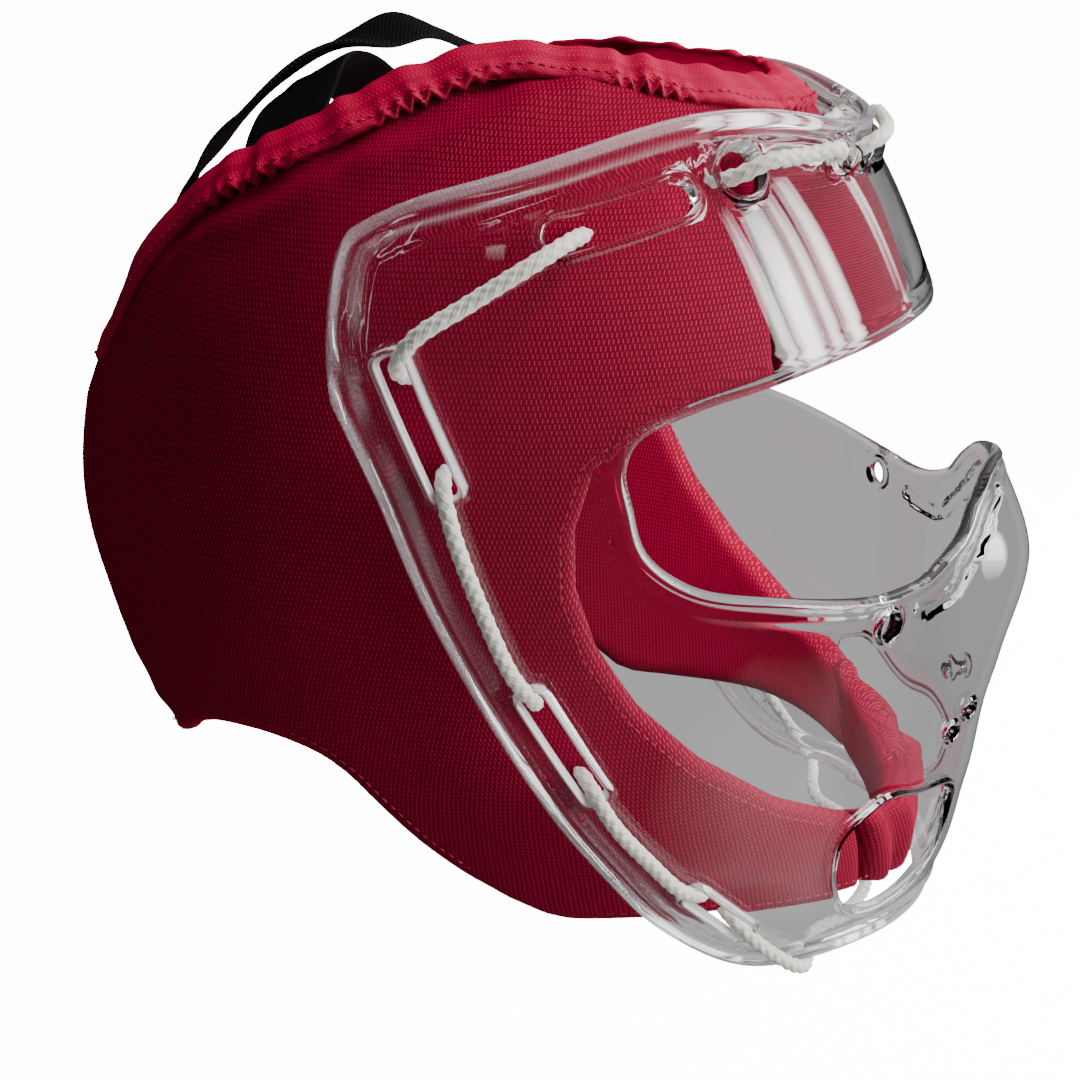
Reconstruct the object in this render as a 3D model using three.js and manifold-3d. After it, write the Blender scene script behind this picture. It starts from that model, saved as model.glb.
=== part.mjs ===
// Field hockey headgear: a padded knit hood, open at the crown, the face and the neck, with a clear
// moulded face mask that one lace ties to the padding. Millimetres, +Z up. The face looks along -Y
// and +X is the wearer's left. The origin is the middle of the head hollow at brow level.
import * as THREE from 'three';
import { mergeVertices } from 'three/addons/utils/BufferGeometryUtils.js';
import Module from 'manifold-3d';

const wasm = await Module();
wasm.setup();

// Head and hood sizes
const hoodHalfWidth = 86;
const hoodFront = 108;
const hoodRear = 90;
const hoodRise = 88;
const hoodDrop = 165;
const hoodWall = 8;
const crownEdgeWall = 4;
const crownTaper = 16;
const pieceGap = 0.35;
const seamAngle = 0.35;

// Forehead pad and chin cup
const padHalfAngle = 42.5;
const padCrownShare = 0.9;
const chinHalfAngle = 31;
const chinPuff = 1.5;

// Gathered casing round the crown opening
const hemHeight = 7.5;
const hemThickness = 5.4;
const hemPuckers = 28;
const puckerDepth = 0.7;
const crownLean = 10;
const hemSeam = 0.9;

// Elastic straps over the crown
const strapWidth = 20;
const strapThickness = 1.6;
const strapClearance = 1.5;

// Face mask
const maskWall = 3;
const maskFit = 0.8;
const maskStandOff = 12.4;
const widestShift = 6;
const noseRise = 19;
const noseHalfWidth = 20;
const flangeWidth = 9;
const flangeStep = 2;
const rimBead = 1.2;
const slotWidth = 6.5;
const slotLip = 1.7;
const slotLipRise = 1.3;
const laceHole = 9;
const browHole = 5;
const ventHole = 5.5;
const chinHole = 3;

// Lace
const laceDiameter = 3.4;
const laceSides = 8;
const channelSides = 6;
const channelFlats = 1.08;
const laceGap = 0.5;
const laceStepsPerSpan = 2;

// Rows from the neck up: height (share of the drop below the brow or of the rise above it), half
// width, front, widest point and rear (shares of the half width, the front and the rear reach),
// and how square the section is.
const HOOD_ROWS = [
  { height: -1, width: 0.465, front: 0.926, widest: -0.37, rear: 0.111, square: 2.2 },
  { height: -0.909, width: 0.581, front: 1, widest: -0.352, rear: 0.267, square: 2.2 },
  { height: -0.758, width: 0.721, front: 1.083, widest: -0.278, rear: 0.511, square: 2.2 },
  { height: -0.606, width: 0.849, front: 1.093, widest: -0.148, rear: 0.722, square: 2.3 },
  { height: -0.455, width: 0.93, front: 1.02, widest: -0.056, rear: 0.856, square: 2.3 },
  { height: -0.303, width: 0.977, front: 0.981, widest: -0.019, rear: 0.956, square: 2.3 },
  { height: -0.121, width: 1, front: 0.981, widest: 0, rear: 1, square: 2.3 },
  { height: 0.114, width: 1, front: 0.972, widest: 0, rear: 0.91, square: 2.3 },
  { height: 0.398, width: 0.953, front: 0.926, widest: -0.019, rear: 0.8, square: 2.25 },
  { height: 0.625, width: 0.86, front: 0.833, widest: -0.037, rear: 0.667, square: 2.2 },
  { height: 0.795, width: 0.721, front: 0.713, widest: -0.056, rear: 0.511, square: 2.1 },
  { height: 0.909, width: 0.57, front: 0.574, widest: -0.074, rear: 0.367, square: 2 },
  { height: 0.977, width: 0.395, front: 0.426, widest: -0.083, rear: 0.2, square: 2 },
];

// The mask over the same heights: how much of its full stand-off it has in front, how far it flares
// at the side (share of the half width), and how much of the nose ridge it has.
const MASK_ROWS = [
  { height: -1, standOff: 0, flare: 0, nose: 0 },
  { height: -0.85, standOff: 0, flare: 0, nose: 0.06 },
  { height: -0.73, standOff: 0.12, flare: 0, nose: 0.24 },
  { height: -0.606, standOff: 0.1, flare: 0, nose: 0.45 },
  { height: -0.394, standOff: 0.76, flare: 0, nose: 0.82 },
  { height: -0.242, standOff: 1, flare: 0, nose: 1 },
  { height: -0.091, standOff: 0.84, flare: 0, nose: 0.6 },
  { height: 0.114, standOff: 0.68, flare: 0, nose: 0 },
  { height: 0.398, standOff: 0.35, flare: 0.012, nose: 0 },
  { height: 0.568, standOff: 0.31, flare: 0.018, nose: 0 },
  { height: 0.705, standOff: 0.4, flare: 0.035, nose: 0 },
  { height: 0.852, standOff: 0.76, flare: 0.06, nose: 0 },
];

// Edges of the pieces as angle from the front and height. The right half is given; the left mirrors it.
const HOOD_LOWER_EDGE = [
  { angle: 0, height: -0.74 },
  { angle: 31, height: -0.705 },
  { angle: 55, height: -0.677 },
  { angle: 78.5, height: -0.685 },
  { angle: 85, height: -0.682 },
  { angle: 88.1, height: -0.65 },
  { angle: 91, height: -0.591 },
  { angle: 94.2, height: -0.529 },
  { angle: 96.8, height: -0.465 },
  { angle: 100, height: -0.42 },
  { angle: 106, height: -0.396 },
  { angle: 113, height: -0.392 },
  { angle: 121, height: -0.405 },
  { angle: 135, height: -0.46 },
  { angle: 150, height: -0.52 },
  { angle: 180, height: -0.54 },
];
const CROWN_EDGE = [
  { angle: 0, height: 0.76 },
  { angle: 17, height: 0.775 },
  { angle: 39.8, height: 0.815 },
  { angle: 55, height: 0.853 },
  { angle: 67.8, height: 0.876 },
  { angle: 80.6, height: 0.872 },
  { angle: 93.1, height: 0.815 },
  { angle: 102.8, height: 0.752 },
  { angle: 110.3, height: 0.705 },
  { angle: 120.3, height: 0.64 },
  { angle: 126, height: 0.595 },
  { angle: 132, height: 0.53 },
  { angle: 137, height: 0.44 },
  { angle: 142, height: 0.32 },
  { angle: 150, height: 0.18 },
  { angle: 162, height: 0.095 },
  { angle: 180, height: 0.05 },
];
const BROW_EDGE = [
  { angle: 0, height: 0.26 },
  { angle: 18, height: 0.275 },
  { angle: 41, height: 0.26 },
  { angle: 55, height: 0.193 },
];
const PAD_TOP = 0.69;
const BROW_CORNER = 0.26;
const CHIN_CORNER = -0.55;
const CHIN_END = -0.78;
const FACE_EDGE = [
  { angle: 55, height: 0.193 },
  { angle: 62.6, height: 0.1 },
  { angle: 67.5, height: 0.042 },
  { angle: 69.8, height: -0.06 },
  { angle: 69.8, height: -0.14 },
  { angle: 67.5, height: -0.222 },
  { angle: 62.6, height: -0.313 },
  { angle: 54.9, height: -0.405 },
  { angle: 44.6, height: -0.486 },
  { angle: 35.6, height: -0.53 },
];
const CHIN_TOP = [
  { angle: 0, height: -0.6 },
  { angle: 16, height: -0.588 },
  { angle: 31, height: -0.548 },
];
const CHIN_BOTTOM = [
  { angle: 0, height: -0.75 },
  { angle: 16, height: -0.735 },
  { angle: 31, height: -0.705 },
];
const MASK_TOP_EDGE = [
  { angle: 0, height: 0.715 },
  { angle: 20, height: 0.733 },
  { angle: 33, height: 0.75 },
  { angle: 48.7, height: 0.745 },
  { angle: 58.6, height: 0.722 },
  { angle: 69.5, height: 0.675 },
  { angle: 76.6, height: 0.635 },
  { angle: 83.6, height: 0.59 },
  { angle: 91.3, height: 0.536 },
];
const MASK_REAR_EDGE = [
  { angle: 71.5, height: -0.652 },
  { angle: 74.3, height: -0.546 },
  { angle: 77.2, height: -0.433 },
  { angle: 82.4, height: -0.251 },
  { angle: 86.2, height: -0.088 },
  { angle: 89.7, height: 0.139 },
  { angle: 91, height: 0.36 },
  { angle: 91.3, height: 0.536 },
];
const MASK_LOWER_EDGE = [
  { angle: 0, height: -0.8 },
  { angle: 15, height: -0.79 },
  { angle: 27, height: -0.78 },
  { angle: 39, height: -0.775 },
  { angle: 53, height: -0.78 },
  { angle: 60, height: -0.775 },
  { angle: 67, height: -0.73 },
  { angle: 71.5, height: -0.652 },
];
const WINDOW_EDGE = [
  { angle: 0, height: 0.27 },
  { angle: 17.3, height: 0.281 },
  { angle: 30.4, height: 0.267 },
  { angle: 40.7, height: 0.245 },
  { angle: 50.6, height: 0.21 },
  { angle: 57.7, height: 0.18 },
  { angle: 64.4, height: 0.125 },
  { angle: 66.3, height: 0.06 },
  { angle: 65.8, height: -0.02 },
  { angle: 64.1, height: -0.085 },
  { angle: 59, height: -0.13 },
  { angle: 49.3, height: -0.155 },
  { angle: 35.6, height: -0.183 },
  { angle: 27.9, height: -0.191 },
  { angle: 19.8, height: -0.191 },
  { angle: 12.8, height: -0.168 },
  { angle: 8.6, height: -0.123 },
  { angle: 4.1, height: -0.088 },
  { angle: 0, height: -0.08 },
];
const CHIN_CUTOUT = [
  { angle: 41, height: -0.655 },
  { angle: 39.4, height: -0.561 },
  { angle: 33.9, height: -0.535 },
  { angle: 28, height: -0.527 },
  { angle: 20.5, height: -0.55 },
  { angle: 9.6, height: -0.584 },
  { angle: 9.8, height: -0.64 },
  { angle: 15, height: -0.69 },
  { angle: 23, height: -0.71 },
  { angle: 33, height: -0.712 },
  { angle: 39, height: -0.695 },
];

// Lace slots, each from its upper to its lower end, and the round holes
const SLOTS = [
  { name: 'brow', angle: 53.5, height: 0.635, endAngle: 72.1, endHeight: 0.55, width: 1 },
  { name: 'temple', angle: 86.7, height: 0.305, endAngle: 82.2, endHeight: -0.005, width: 0.72 },
  { name: 'cheek', angle: 76.6, height: -0.27, endAngle: 71.1, endHeight: -0.429, width: 0.72 },
  { name: 'jaw', angle: 64.1, height: -0.603, endAngle: 58.3, endHeight: -0.694, width: 0.65 },
];
const HOLES = [
  { angle: 45.5, height: 0.665, diameter: laceHole },
  { angle: 23, height: 0.67, diameter: browHole },
  { angle: 16.5, height: 0.668, diameter: browHole },
  { angle: 31.1, height: -0.236, diameter: ventHole },
  { angle: 6.1, height: -0.467, diameter: chinHole },
  { angle: 9.6, height: -0.489, diameter: chinHole },
];

// The lace's right half, from the middle of the brow to the middle of the chin. It lies over the
// mask, passes through it, or runs in a channel inside the padding.
const LACE_ROUTE = [
  { angle: 0, height: 0.668, place: 'over' },
  { angle: 8, height: 0.668, place: 'over' },
  { angle: 13.5, height: 0.668, place: 'over' },
  { angle: 16.5, height: 0.668, place: 'through' },
  { angle: 19.8, height: 0.669, place: 'under' },
  { angle: 23, height: 0.67, place: 'through' },
  { angle: 27, height: 0.672, place: 'over' },
  { angle: 34, height: 0.675, place: 'over' },
  { angle: 41, height: 0.675, place: 'over' },
  { angle: 45, height: 0.668, place: 'through' },
  { angle: 50, height: 0.65, place: 'under' },
  { angle: 58, height: 0.62, place: 'under' },
  { angle: 65, height: 0.585, place: 'under' },
  { angle: 69.4, height: 0.563, place: 'through' },
  { angle: 73.2, height: 0.52, place: 'over' },
  { angle: 80, height: 0.42, place: 'over' },
  { angle: 84.3, height: 0.35, place: 'over' },
  { angle: 86, height: 0.27, place: 'through' },
  { angle: 85.6, height: 0.2, place: 'under' },
  { angle: 84.2, height: 0.1, place: 'under' },
  { angle: 83, height: 0.04, place: 'through' },
  { angle: 81.9, height: -0.04, place: 'over' },
  { angle: 80, height: -0.14, place: 'over' },
  { angle: 77.8, height: -0.235, place: 'over' },
  { angle: 76, height: -0.29, place: 'through' },
  { angle: 74.5, height: -0.33, place: 'under' },
  { angle: 73, height: -0.375, place: 'under' },
  { angle: 71.9, height: -0.408, place: 'through' },
  { angle: 70, height: -0.46, place: 'over' },
  { angle: 67.4, height: -0.53, place: 'over' },
  { angle: 65.2, height: -0.58, place: 'over' },
  { angle: 63.1, height: -0.617, place: 'through' },
  { angle: 61.3, height: -0.65, place: 'under' },
  { angle: 59.4, height: -0.677, place: 'through' },
  { angle: 55, height: -0.73, place: 'over' },
  { angle: 48.5, height: -0.78, place: 'over' },
  { angle: 39, height: -0.805, place: 'below' },
  { angle: 26, height: -0.808, place: 'below' },
  { angle: 13, height: -0.81, place: 'below' },
  { angle: 0.2, height: -0.815, place: 'below' },
];

// Crown straps: the angle at each end, the rise above the straight line between the ends (share of the
// rise of the head form), and the tilt of the band towards the rear in degrees.
const STRAPS = [
  {
    name: 'crown_strap_long',
    start: 145,
    end: -62,
    rows: [
      { along: 0, rise: 0, tilt: 35 },
      { along: 0.08, rise: 0.269, tilt: 32 },
      { along: 0.17, rise: 0.37, tilt: 29 },
      { along: 0.25, rise: 0.431, tilt: 27 },
      { along: 0.33, rise: 0.449, tilt: 18 },
      { along: 0.42, rise: 0.428, tilt: -5 },
      { along: 0.5, rise: 0.419, tilt: -12 },
      { along: 0.58, rise: 0.339, tilt: -12 },
      { along: 0.67, rise: 0.243, tilt: -10 },
      { along: 0.83, rise: 0.127, tilt: -5 },
      { along: 1, rise: 0, tilt: 0 },
    ],
  },
  {
    name: 'crown_strap_cross',
    start: 119,
    end: -122,
    rows: [
      { along: 0, rise: 0, tilt: 10 },
      { along: 0.08, rise: 0.093, tilt: 16 },
      { along: 0.17, rise: 0.157, tilt: 22 },
      { along: 0.25, rise: 0.198, tilt: 28 },
      { along: 0.33, rise: 0.219, tilt: 30 },
      { along: 0.42, rise: 0.226, tilt: 24 },
      { along: 0.5, rise: 0.224, tilt: 18 },
      { along: 0.6, rise: 0.205, tilt: 15 },
      { along: 0.75, rise: 0.164, tilt: 9 },
      { along: 0.9, rise: 0.082, tilt: 4 },
      { along: 1, rise: 0, tilt: 0 },
    ],
  },
];

// How fine the faceted walls are, how their grids crowd towards the rims, and how far cutters reach
const hoodColumns = 44;
const hoodLevels = 10;
const maskColumns = 26;
const maskLevels = 12;
const maskSideCrowding = 0.6;
const maskRimCrowding = 0.5;
const padColumns = 12;
const padLevels = 4;
const seamParts = 6;
const hemSides = 6;
const strapSteps = 20;
const strapTurnShare = 0.25;
const windowPoints = 48;
const cutoutPoints = 18;
const holeSides = 10;
const slotEndParts = 3;
const outlineAngleStep = 10;
const outlineHeightStep = 20;
const seamRunOut = 0.2;
const panelOverlap = 2;
const padCrownPower = 6;
const cutterInward = 0.2;
const cutterOutward = 4;
const nearCutterInward = 0.6;
const nearCutterOutward = 1.6;
const slotCutReach = 14;

const radians = (degrees) => THREE.MathUtils.degToRad(degrees);
const levelOf = (share) => (share < 0 ? share * hoodDrop : share * hoodRise);
const shareOf = (z) => (z < 0 ? z / hoodDrop : z / hoodRise);

// Smooth value of one column between the rows of a table, with slopes from the neighbouring rows
function between(rows, key, column, at) {
  const last = rows.length - 1;
  const rising = rows[last][key] > rows[0][key];
  const value = THREE.MathUtils.clamp(at, Math.min(rows[0][key], rows[last][key]),
    Math.max(rows[0][key], rows[last][key]));
  let row = 0;
  while (row < last - 1 && (rising ? value > rows[row + 1][key] : value < rows[row + 1][key])) row += 1;
  const slope = (i) => {
    const a = rows[Math.max(i - 1, 0)];
    const b = rows[Math.min(i + 1, last)];
    return (b[column] - a[column]) / (b[key] - a[key]);
  };
  const from = rows[row];
  const to = rows[row + 1];
  const span = to[key] - from[key];
  const t = (value - from[key]) / span;
  const rest = 1 - t;
  return from[column] * (1 + 2 * t) * rest * rest + to[column] * (3 - 2 * t) * t * t
    + span * t * rest * (slope(row) * rest - slope(row + 1) * t);
}

// A horizontal section of the head form: angle 0 is the front, 180 the rear, positive the right side
function sectionPoint(angle, z, width, front, widest, rear, square) {
  const turn = radians(Math.abs(angle));
  const sine = Math.abs(Math.sin(turn)) ** (2 / square);
  const cosine = Math.abs(Math.cos(turn)) ** (2 / square);
  const x = -Math.sign(angle) * width * sine;
  const y = Math.cos(turn) > 0 ? widest - (widest - front) * cosine : widest + (rear - widest) * cosine;
  return new THREE.Vector3(x, y, z);
}

function hoodSection(z) {
  const at = shareOf(z);
  return {
    width: hoodHalfWidth * between(HOOD_ROWS, 'height', 'width', at),
    front: -hoodFront * between(HOOD_ROWS, 'height', 'front', at),
    widest: hoodFront * between(HOOD_ROWS, 'height', 'widest', at),
    rear: hoodRear * between(HOOD_ROWS, 'height', 'rear', at),
    square: between(HOOD_ROWS, 'height', 'square', at),
  };
}

function hoodForm(angle, z) {
  const s = hoodSection(z);
  return sectionPoint(angle, z, s.width, s.front, s.widest, s.rear, s.square);
}

function maskForm(angle, z) {
  const s = hoodSection(z);
  const at = shareOf(z);
  const clear = maskFit + maskWall;
  const width = s.width + clear + hoodHalfWidth * between(MASK_ROWS, 'height', 'flare', at);
  const front = s.front - clear - maskStandOff * between(MASK_ROWS, 'height', 'standOff', at);
  const point = sectionPoint(angle, z, width, front, s.widest + widestShift,
    s.rear + clear, s.square + 0.1);
  const nose = noseRise * between(MASK_ROWS, 'height', 'nose', at);
  point.y -= nose * Math.exp(-((point.x / noseHalfWidth) ** 2));
  return point;
}

// Outward normal of a form by small steps along it
function normalOf(form, angle, z) {
  const turn = 0.5;
  const rise = 1;
  const across = form(angle + turn, z).sub(form(angle - turn, z));
  const up = form(angle, z + rise).sub(form(angle, z - rise));
  return up.cross(across).normalize();
}

const lift = (form, angle, z, height) => form(angle, z).addScaledVector(normalOf(form, angle, z), height);

// The padding's outer face: the hood's own, or the forehead pad crowned up to the mask
function paddingFace(angle, z) {
  const plain = lift(hoodForm, angle, z, 0);
  const acrossShare = Math.min(Math.abs(angle) / padHalfAngle, 1);
  const low = levelOf(between(BROW_EDGE, 'angle', 'height', Math.abs(angle)));
  const high = levelOf(PAD_TOP);
  const upShare = THREE.MathUtils.clamp((z - low) / (high - low), 0, 1) * 2 - 1;
  const crown = padCrownShare * (1 - acrossShare ** padCrownPower)
    * (1 - Math.abs(upShare) ** padCrownPower);
  const full = lift(maskForm, angle, z, -maskWall - maskFit);
  return plain.lerp(full, crown);
}

// A closed wall over a grid of outer and inner points. A ring has no side edges.
function wallSolid(columns, levels, ring, outer, inner) {
  const positions = [];
  const index = [];
  const wide = ring ? columns : columns + 1;
  const id = (side, i, j) => side * wide * (levels + 1) + j * wide + (ring ? i % columns : i);
  [outer, inner].forEach((face) => {
    for (let j = 0; j <= levels; j += 1) {
      for (let i = 0; i < wide; i += 1) {
        const point = face(i / columns, j / levels);
        positions.push(point.x, point.y, point.z);
      }
    }
  });
  const quad = (a, b, c, d) => index.push(a, b, c, a, c, d);
  for (let j = 0; j < levels; j += 1) {
    for (let i = 0; i < columns; i += 1) {
      quad(id(0, i, j), id(0, i, j + 1), id(0, i + 1, j + 1), id(0, i + 1, j));
      quad(id(1, i, j), id(1, i + 1, j), id(1, i + 1, j + 1), id(1, i, j + 1));
    }
  }
  for (let i = 0; i < columns; i += 1) {
    quad(id(0, i, 0), id(0, i + 1, 0), id(1, i + 1, 0), id(1, i, 0));
    quad(id(0, i, levels), id(1, i, levels), id(1, i + 1, levels), id(0, i + 1, levels));
  }
  if (!ring) {
    for (let j = 0; j < levels; j += 1) {
      quad(id(0, 0, j), id(1, 0, j), id(1, 0, j + 1), id(0, 0, j + 1));
      quad(id(0, columns, j), id(0, columns, j + 1), id(1, columns, j + 1), id(1, columns, j));
    }
  }
  return solidOf(new Float32Array(positions), new Uint32Array(index));
}

function solidOf(vertProperties, triVerts) {
  return new wasm.Manifold(new wasm.Mesh({ numProp: 3, vertProperties, triVerts }));
}

// A three.js shape as a solid that can be cut or joined
function solidOfGeometry(geometry) {
  const plain = geometry.clone();
  plain.deleteAttribute('normal');
  plain.deleteAttribute('uv');
  const merged = mergeVertices(plain, 1e-4);
  return solidOf(new Float32Array(merged.attributes.position.array), new Uint32Array(merged.index.array));
}

function geometryOf(solid) {
  const mesh = solid.getMesh();
  const geometry = new THREE.BufferGeometry();
  geometry.setAttribute('position', new THREE.BufferAttribute(new Float32Array(mesh.vertProperties), 3));
  geometry.setIndex(new THREE.BufferAttribute(new Uint32Array(mesh.triVerts), 1));
  geometry.computeVertexNormals();
  return geometry;
}

// Both halves of an edge given for the right side, as one closed outline
function bothSides(rightRows) {
  const left = rightRows.slice().reverse().map((row) => ({ ...row, angle: -row.angle }));
  return rightRows.concat(left).filter((row, i, all) => {
    const next = all[(i + 1) % all.length];
    return Math.abs(row.angle - next.angle) + Math.abs(row.height - next.height) > 1e-6;
  });
}

function smoothOutline(rows, pointCount) {
  const curve = new THREE.CatmullRomCurve3(
    rows.map((row) => new THREE.Vector3(row.angle, levelOf(row.height), 0)), true, 'centripetal');
  return curve.getSpacedPoints(pointCount).slice(0, -1).map((p) => new THREE.Vector2(p.x, p.y));
}

// A cutter through a form's wall: an outline in angle and height, carried in and out from the axis
function outlineCutter(form, outline, inward, outward) {
  const points = THREE.ShapeUtils.isClockWise(outline) ? outline.slice().reverse() : outline;
  const positions = [];
  [inward, outward].forEach((scale) => {
    points.forEach((point) => {
      const place = form(point.x, point.y);
      positions.push(place.x * scale, place.y * scale, place.z);
    });
  });
  const count = points.length;
  const index = [];
  THREE.ShapeUtils.triangulateShape(points, []).forEach(([a, b, c]) => {
    index.push(a, b, c, count + a, count + c, count + b);
  });
  for (let i = 0; i < count; i += 1) {
    const next = (i + 1) % count;
    index.push(i, count + i, count + next, i, count + next, next);
  }
  return solidOf(new Float32Array(positions), new Uint32Array(index));
}

// A slot or round hole through the mask, and the moulded lip round it
function slotShape(length, width) {
  const shape = new THREE.Shape();
  shape.absarc(length / 2, 0, width / 2, -Math.PI / 2, Math.PI / 2, false);
  shape.absarc(-length / 2, 0, width / 2, Math.PI / 2, 1.5 * Math.PI, false);
  return shape;
}

function slotSolid(slot, side, width, below, above) {
  const start = maskForm(side * slot.angle, levelOf(slot.height));
  const end = maskForm(side * slot.endAngle, levelOf(slot.endHeight));
  const middle = start.clone().add(end).multiplyScalar(0.5);
  const out = normalOf(maskForm, side * (slot.angle + slot.endAngle) / 2,
    levelOf((slot.height + slot.endHeight) / 2));
  const along = end.clone().sub(start);
  const reach = along.length();
  along.normalize();
  const across = out.clone().cross(along).normalize();
  const upright = along.clone().cross(across);
  const geometry = new THREE.ExtrudeGeometry(slotShape(reach - slotWidth * slot.width, width),
    { depth: below + above, bevelEnabled: false, curveSegments: slotEndParts });
  geometry.translate(0, 0, -below);
  geometry.applyMatrix4(new THREE.Matrix4().makeBasis(along, across, upright).setPosition(middle));
  return solidOfGeometry(geometry);
}

function holeCutter(hole, side) {
  const centre = maskForm(side * hole.angle, levelOf(hole.height));
  const out = normalOf(maskForm, side * hole.angle, levelOf(hole.height));
  const geometry = new THREE.CylinderGeometry(hole.diameter / 2, hole.diameter / 2,
    2 * slotCutReach, holeSides);
  const turn = new THREE.Quaternion().setFromUnitVectors(new THREE.Vector3(0, 1, 0), out);
  geometry.applyQuaternion(turn);
  geometry.translate(centre.x, centre.y, centre.z);
  return solidOfGeometry(geometry);
}

// A place on the lace's route
function lacePoint(row, side) {
  const angle = side * row.angle;
  const z = levelOf(row.height);
  const radius = laceDiameter / 2;
  if (row.place === 'over') return lift(maskForm, angle, z, radius + laceGap + maskRaise(angle, z));
  if (row.place === 'through') return lift(maskForm, angle, z, -maskWall / 2);
  const padding = paddingFace(angle, z);
  const depth = row.place === 'under' ? hoodWall / 2 : hoodWall / 2 + radius;
  return padding.addScaledVector(normalOf(hoodForm, angle, z), -depth);
}

// Height of the moulded top flange and rim bead above the mask's plain form
function maskRaise(angle, z) {
  const top = levelOf(between(MASK_TOP_EDGE, 'angle', 'height', Math.abs(angle)));
  const step = THREE.MathUtils.smoothstep(z, top - flangeWidth - flangeStep, top - flangeWidth + flangeStep);
  return flangeStep * step;
}

// The lace follows its places at even shares of the route, so that it bends where it passes through
class LaceCurve extends THREE.Curve {
  constructor(points) {
    super();
    this.spline = new THREE.CatmullRomCurve3(points, false, 'centripetal');
  }

  getPoint(t, target = new THREE.Vector3()) {
    return this.spline.getPoint(t, target);
  }

  getPointAt(t, target) {
    return this.getPoint(t, target);
  }

  getTangentAt(t, target) {
    return this.getTangent(t, target);
  }
}

function laceSolid(diameter, sides) {
  const right = LACE_ROUTE.map((row) => lacePoint(row, 1));
  const left = LACE_ROUTE.slice(1).map((row) => lacePoint(row, -1));
  const points = right.slice().reverse().concat(left);
  const section = new THREE.Shape();
  section.absarc(0, 0, diameter / 2, 0, 2 * Math.PI, false);
  const geometry = new THREE.ExtrudeGeometry(section, {
    steps: (points.length - 1) * laceStepsPerSpan / 2,
    curveSegments: sides / 2,
    bevelEnabled: false,
    extrudePath: new LaceCurve(points),
  });
  return solidOfGeometry(geometry);
}

// Hood shell: one padded wall, thinner towards the crown, with the face and the chin cut out
function hoodSolid(laceChannel) {
  const place = (u, v, depth) => {
    const angle = 360 * u - 180;
    const turn = Math.abs(angle);
    const low = levelOf(between(HOOD_LOWER_EDGE, 'angle', 'height', turn));
    const high = crownLevel(angle);
    const z = THREE.MathUtils.lerp(low, high, v);
    const fade = THREE.MathUtils.smoothstep(high - z, 0, crownTaper);
    const wall = THREE.MathUtils.lerp(crownEdgeWall, hoodWall, fade);
    return lift(hoodForm, angle, z, -wall * depth);
  };
  const shell = wallSolid(hoodColumns, hoodLevels, true, (u, v) => place(u, v, 0), (u, v) => place(u, v, 1));
  const right = [{ angle: 0, height: PAD_TOP }].concat(
    seamRows(padHalfAngle, PAD_TOP, BROW_CORNER),
    FACE_EDGE,
    seamRows(chinHalfAngle, CHIN_CORNER, CHIN_END),
    [{ angle: 0, height: CHIN_END }],
  );
  const outline = denseOutline(bothSides(right));
  const face = outlineCutter(hoodForm, outline, cutterInward, cutterOutward);
  return shell.subtract(face).subtract(laceChannel);
}

// An outline with straight stretches divided so that it follows the form
function denseOutline(rows) {
  const points = [];
  rows.forEach((row, i) => {
    const next = rows[(i + 1) % rows.length];
    const from = new THREE.Vector2(row.angle, levelOf(row.height));
    const to = new THREE.Vector2(next.angle, levelOf(next.height));
    const parts = Math.max(1, Math.ceil(Math.abs(to.x - from.x) / outlineAngleStep),
      Math.ceil(Math.abs(to.y - from.y) / outlineHeightStep));
    for (let k = 0; k < parts; k += 1) points.push(from.clone().lerp(to, k / parts));
  });
  return points;
}

// A separate padded panel, its side walls cut square to the seam so that the seam stays even
function seamRows(angle, from, to) {
  return Array.from({ length: seamParts + 1 }, (_, i) => (
    { angle, height: THREE.MathUtils.lerp(from, to, i / seamParts) }));
}

function panelSolid(half, seam, bottom, top, outerFace, innerFace) {
  const wide = half + panelOverlap;
  const place = (u, v, face) => {
    const angle = wide * (2 * u - 1);
    const low = levelOf(between(bottom, 'angle', 'height', Math.abs(angle)));
    const high = levelOf(between(top, 'angle', 'height', Math.abs(angle)));
    return face(angle, THREE.MathUtils.lerp(low, high, v), u, v);
  };
  const right = [{ angle: half, height: seam[0] + seamRunOut }].concat(
    seamRows(half, seam[0], seam[1]),
    [{ angle: half, height: seam[1] - seamRunOut }],
  );
  const sides = outlineCutter(hoodForm, denseOutline(bothSides(right)), cutterInward, cutterOutward);
  return wallSolid(padColumns, padLevels, false, (u, v) => place(u, v, outerFace),
    (u, v) => place(u, v, innerFace)).intersect(sides);
}

function foreheadPadSolid(laceChannel) {
  const seam = levelOf(PAD_TOP) - pieceGap;
  const top = [{ angle: 0, height: shareOf(seam) }, { angle: 90, height: shareOf(seam) }];
  return panelSolid(padHalfAngle - seamAngle, [PAD_TOP, BROW_CORNER], BROW_EDGE, top, paddingFace,
    (angle, z) => lift(hoodForm, angle, z, -hoodWall)).subtract(laceChannel);
}

function chinCupSolid(laceChannel) {
  const puff = (u, v) => chinPuff * Math.sin(Math.PI * u) * Math.sin(Math.PI * v);
  return panelSolid(chinHalfAngle - seamAngle, [CHIN_CORNER, CHIN_END], CHIN_BOTTOM, CHIN_TOP,
    (angle, z, u, v) => lift(hoodForm, angle, z, puff(u, v)),
    (angle, z, u, v) => lift(hoodForm, angle, z, -hoodWall - puff(u, v))).subtract(laceChannel);
}

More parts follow.
